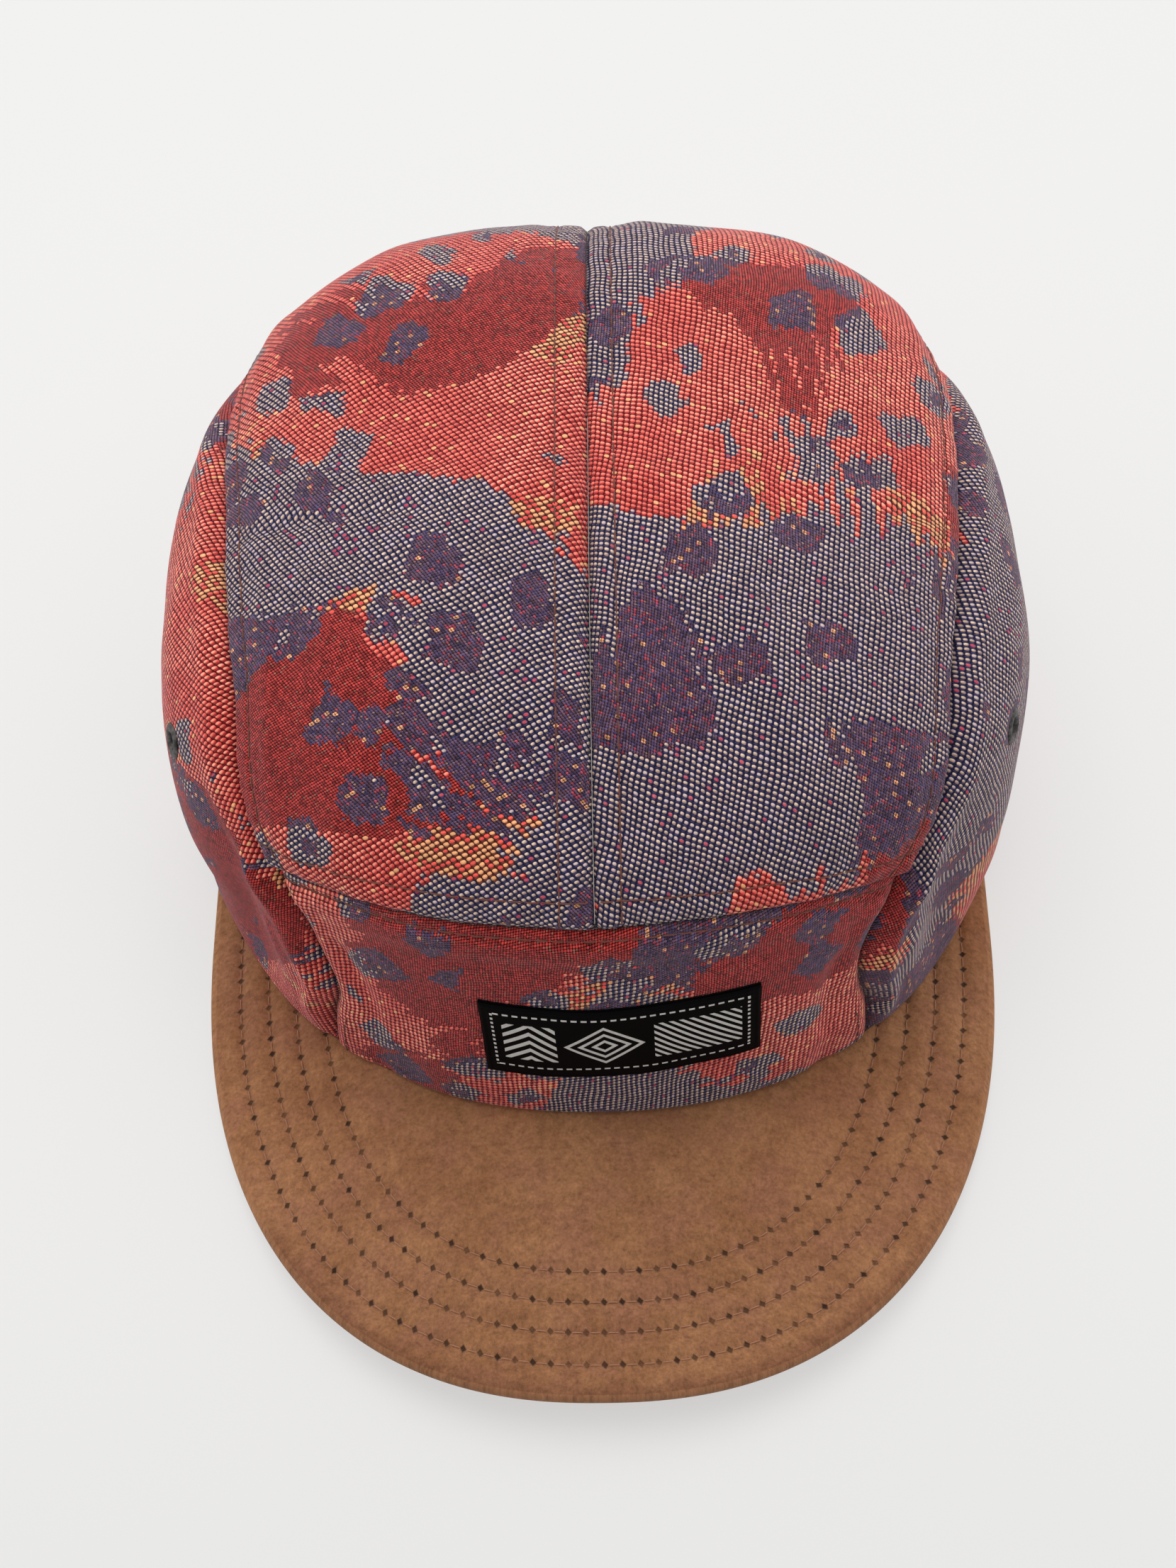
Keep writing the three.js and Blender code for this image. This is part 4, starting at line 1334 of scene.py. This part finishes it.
share = np.linspace(-1, 1, BRIM_AROUND + 1)
widest = 90 + BRIM_REAR_Y - BRIM_PIVOT_Y
edge_line = brim_edge(widest * share * (1 - CORNER_CROWDING + CORNER_CROWDING * share * share))
rim_place = rim_arc(0, BRIM_INNER_WIDEST)(share)
root_line = (seam_surface(rim_place) - surface_normal(rim_place) * BRIM_TUCK)[:, :2]
edge_tangent = unit(np.gradient(edge_line, axis=0))
edge_out = np.stack([edge_tangent[:, 1], -edge_tangent[:, 0]], -1)
edge_out *= np.sign((edge_out * (edge_line - [0, BRIM_PIVOT_Y])).sum(1, keepdims=True))
inset_line = edge_line - edge_out * BRIM_ROUNDING
across = (1 - (1 - np.linspace(0, 1, BRIM_ACROSS + 1)) ** EDGE_CROWDING)[None, :, None]
plan = root_line[:, None] * (1 - across) + inset_line[:, None] * across
fine_edge = brim_edge(np.linspace(-widest, widest, EDGE_POINTS))
flat_plan = raised(plan, plan[..., 0] * 0)
from_edge, edge_along = line_distance(flat_plan, raised(fine_edge, fine_edge[:, 0] * 0))

row_gaps = from_edge[..., None] - np.array(BRIM_ROWS)
row_pick = np.abs(row_gaps).argmin(-1)
row_gap = np.take_along_axis(row_gaps, row_pick[..., None], -1)[..., 0]
top_relief = -BRIM_GROOVE[0] * bump(row_gap, BRIM_GROOVE[1])
top_relief -= BRIM_PUFF[0] * np.cos(np.clip(row_gap / BRIM_PUFF[1], -1, 1) * np.pi)
top_relief += ripples(flat_plan, BRIM_WAVES)
top = raised(plan, brim_top(plan[..., 0]) + top_relief * smooth(from_edge / BRIM_FADE))
under = raised(plan, brim_top(plan[..., 0]) - BRIM_THICKNESS)
turn = np.linspace(math.pi / 2, -math.pi / 2, EDGE_STEPS + 2)[1:-1]
middle_height = brim_top(edge_line[:, 0]) - BRIM_THICKNESS / 2
round_plan = inset_line[:, None] + edge_out[:, None] * (np.cos(turn) * BRIM_ROUNDING)[None, :, None]
round_edge = raised(round_plan, middle_height[:, None] + np.sin(turn)[None] * BRIM_THICKNESS / 2)
section = np.concatenate([top, round_edge, under[:, ::-1]], 1)
stations, around = section.shape[:2]
at = np.arange(stations * around).reshape(stations, around)
beside = np.roll(at, -1, 1)
brim_faces = np.stack([at[:-1], at[1:], beside[1:], beside[:-1]], -1).reshape(-1, 4).tolist()
for ring, way in ((at[0], -1), (at[-1], 1)):
    brim_faces += [(ring[k], ring[k + 1], ring[-2 - k], ring[-1 - k])[::way] for k in range(around // 2 - 1)]

# Stitch rows on the peak: each needle hole has a whole number as its phase, and cloth hides the ends
rim_angles = np.linspace(-BRIM_INNER_WIDEST, BRIM_INNER_WIDEST, RIM_POINTS)
rim_turn, rim_reach = round_axis(seam_surface(rim_arc(0, 1)(rim_angles)))
top_normal = grid_normal(top, [0, 0, 1])
phase = np.zeros_like(from_edge)
brim_lines = []
for number, distance in enumerate(BRIM_ROWS):
    places = level_line(from_edge, distance, "high")
    points = read_grid(top, places)
    length = running(points)
    point_turn, point_reach = round_axis(points)
    shown = point_reach >= np.interp(point_turn, rim_turn, rim_reach) - CLOTH / 2
    first, last = np.nonzero(shown)[0][[0, -1]]
    count = round((length[last] - length[first]) / BRIM_PITCH)
    pitch = (length[last] - length[first]) / count
    foot = read_grid(edge_along[..., None], places)[:, 0]
    row_phase = np.interp(edge_along, foot, (length - length[first]) / pitch)
    beyond = (edge_along < foot[first] - HOLE_MARGIN) | (edge_along > foot[last] + HOLE_MARGIN)
    phase = np.where(row_pick == number, np.where(beyond, 0.5, row_phase), phase)
    brim_lines.append((points[first:last + 1], read_grid(top_normal, places)[first:last + 1]))

edge_zero = np.zeros((stations, EDGE_STEPS))
hidden = np.zeros((stations, around - BRIM_ACROSS - 1))
face_value = np.concatenate([from_edge * 0, edge_zero, from_edge * 0 + 1], 1)
suede_value = [section[..., 0], section[..., 1] - section[..., 2] * (1 - 2 * face_value), face_value]
row_value = [np.concatenate([from_edge, edge_zero, from_edge[:, ::-1]], 1),
             np.concatenate([phase, hidden], 1), np.concatenate([row_pick, hidden], 1)]
brim = make_mesh("brim_suede_cover", section.reshape(-1, 3), brim_faces, SUEDE_FINISH, {
    key: np.stack(value, -1).reshape(-1, 3) for key, value in (("suede", suede_value), ("row", row_value))
})
dress(brim, "brim_suede", "brim")
stitches("brim_stitching", brim_lines, BRIM_THREAD, BRIM_THREAD_FINISH, "brim_suede")


# The label follows the front panel. Seen from the front it is a slightly tilted rectangle.
LABEL_CELLS = (132, 56)
LABEL_EASE = 0.5
LABEL_DEPTH = 0.2
LABEL_EDGE_FALL = (0.5, 0.45)
LABEL_STITCH_FALL = (0.16, 0.5)
LABEL_STITCH_AT = 1.3
SEARCH_ROUNDS = 14
SEARCH_STEP = 0.5
SEARCH_REACH = 12
front = panels["front_panel"]


def front_place(wanted):
    """Grid places on the front panel's outside for pairs of plan x and height z."""
    rows, columns = front.u.shape
    place = np.full(wanted.shape, [rows / 2, columns / 2])
    for _ in range(SEARCH_ROUNDS):
        here = read_grid(front.outer, place)[:, [0, 2]]
        slopes = [(read_grid(front.outer, place + step)[:, [0, 2]] - here) / SEARCH_STEP
                  for step in ([SEARCH_STEP, 0], [0, SEARCH_STEP])]
        move = np.linalg.solve(np.stack(slopes, -1), (wanted - here)[..., None])[..., 0]
        place = place + move.clip(-SEARCH_REACH, SEARCH_REACH)
        place = place.clip([1, 1], [rows - 2, columns - 2])
    return place


label_x, label_y = np.meshgrid(
    (eased(LABEL_CELLS[0], LABEL_EASE) - 0.5) * LABEL_WIDTH,
    (eased(LABEL_CELLS[1], LABEL_EASE) - 0.5) * LABEL_HEIGHT, indexing="ij")
tilt = math.radians(LABEL_TILT)
seen_x = LABEL_CENTRE[0] + (label_x * math.cos(tilt) - label_y * math.sin(tilt)) * LABEL_SEEN
seen_z = LABEL_CENTRE[1] + (label_y * math.cos(tilt) + label_x * math.sin(tilt)) * LABEL_SEEN
places = front_place(np.column_stack([seen_x.ravel(), seen_z.ravel()]))
label_foot = read_grid(front.outer, places).reshape(label_x.shape + (3,))
label_normal = unit(read_grid(front.normal, places)).reshape(label_x.shape + (3,))
to_border = np.minimum(LABEL_WIDTH / 2 - np.abs(label_x), LABEL_HEIGHT / 2 - np.abs(label_y))
puff = LABEL_THICKNESS - LABEL_EDGE_FALL[0] * bump(to_border, LABEL_EDGE_FALL[1])
puff -= LABEL_STITCH_FALL[0] * bump(to_border - LABEL_STITCH_AT, LABEL_STITCH_FALL[1])
puff += ripples(np.stack([label_x, label_y, label_x * 0], -1), LABEL_WAVES)
label_top = label_foot + label_normal * (LABEL_LIFT + puff)[..., None]
label_under = label_foot + label_normal * (LABEL_LIFT - LABEL_DEPTH)
label_values = both_faces(*(np.stack([label_x, label_y, label_x * 0 + face], -1) for face in (1, 0)))
label = make_mesh("label_patch", both_faces(label_top, label_under), grid_faces(*label_x.shape), LABEL_FINISH,
                  {"label": label_values})
dress(label, "label_weave", "label")


# Floor, soft light and the camera, in metres
FLOOR_HALF = 6.0
# Painted light: the floor glows though it is no lamp, which lightens the shadows on it, and glows a little
# more towards the back
FLOOR_COLOUR = paint(152, 152, 151)
FLOOR_GLOW = 0.475
FLOOR_GLOW_RISE = 0.075
FLOOR_GLOW_ALONG = (-0.24, -0.02)
LAMP_PLACE = (-0.1, 0.34, 1.2)
LAMP_AIM = (0, 0, 0.03)
LAMP_SIZE = 0.9
LAMP_POWER = 4.5
SKY_FRONT = 0.12
SKY_BACK = 0.93
SKY_SIDES = 0.42
SKY_RISE = (-1.0, 0.3)


def floor_material():
    tree = material_tree("studio_floor")
    place = tree.place()
    # Painted light: the floor's glow, rising towards the back
    glow = FLOOR_GLOW + FLOOR_GLOW_RISE * tree.step(tree.split(place)[1], *FLOOR_GLOW_ALONG)
    return tree.finish(
        tree.shade(FLOOR_COLOUR, 0.985 + tree.noise(place, 3.0) * 0.03), 0.9,
        Emission_Strength=glow, Emission_Color=(1.0, 1.0, 0.995, 1.0), Specular_IOR_Level=0.1,
    )


corners = [(-FLOOR_HALF, -FLOOR_HALF, 0), (FLOOR_HALF, -FLOOR_HALF, 0),
           (FLOOR_HALF, FLOOR_HALF, 0), (-FLOOR_HALF, FLOOR_HALF, 0)]
floor_mesh = bpy.data.meshes.new("studio_floor")
floor_mesh.from_pydata(corners, [], [(0, 1, 2, 3)])
floor_mesh.materials.append(floor_material())
floor = bpy.data.objects.new("studio_floor", floor_mesh)
bpy.context.scene.collection.objects.link(floor)
floor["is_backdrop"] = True

lamp_data = bpy.data.lights.new("softbox", "AREA")
lamp_data.shape = "DISK"
lamp_data.size = LAMP_SIZE
lamp_data.energy = LAMP_POWER
lamp_data.color = (1.0, 0.995, 0.985)
lamp = bpy.data.objects.new("softbox", lamp_data)
lamp.location = LAMP_PLACE
lamp.rotation_mode = "QUATERNION"
lamp.rotation_quaternion = (Vector(LAMP_AIM) - Vector(LAMP_PLACE)).to_track_quat("-Z", "Y")
bpy.context.scene.collection.objects.link(lamp)

world = bpy.data.worlds.new("studio")
tree = Tree(world)
sideways, backwards, _ = tree.split(tree.place("Generated"))
sky = tree.nodes["Background"]
sky.inputs["Color"].default_value = (1.0, 0.995, 0.99, 1.0)
rise = tree.step(backwards, *SKY_RISE) * (SKY_BACK - SKY_FRONT)
tree.put(sky.inputs["Strength"], SKY_FRONT + rise + sideways * sideways * SKY_SIDES)
bpy.context.scene.world = world
bpy.context.scene.view_settings.view_transform = "Standard"

azimuth, elevation = math.radians(CAMERA_AZIMUTH), math.radians(CAMERA_ELEVATION)
roll = math.radians(CAMERA_ROLL)
back = Vector((math.sin(azimuth) * math.cos(elevation), -math.cos(azimuth) * math.cos(elevation),
               math.sin(elevation)))
level = (-back).cross(Vector((0, 0, 1))).normalized()
upright = level.cross(-back)
right = math.cos(roll) * level + math.sin(roll) * upright
upward = -math.sin(roll) * level + math.cos(roll) * upright
target = Vector(to_row(np.array(CAMERA_TARGET)))
view_data = bpy.data.cameras.new("camera")
view_data.lens = FOCAL_PIXELS / PHOTO_SIZE[1] * SENSOR_WIDTH
view_data.sensor_width = SENSOR_WIDTH
view_data.clip_start = 0.02
camera = bpy.data.objects.new("camera", view_data)
camera.matrix_world = (Matrix.Translation(target + back * CAMERA_DISTANCE * MM)
                       @ Matrix((right, upward, back)).transposed().to_4x4())
bpy.context.scene.collection.objects.link(camera)
bpy.context.scene.camera = camera

low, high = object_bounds()
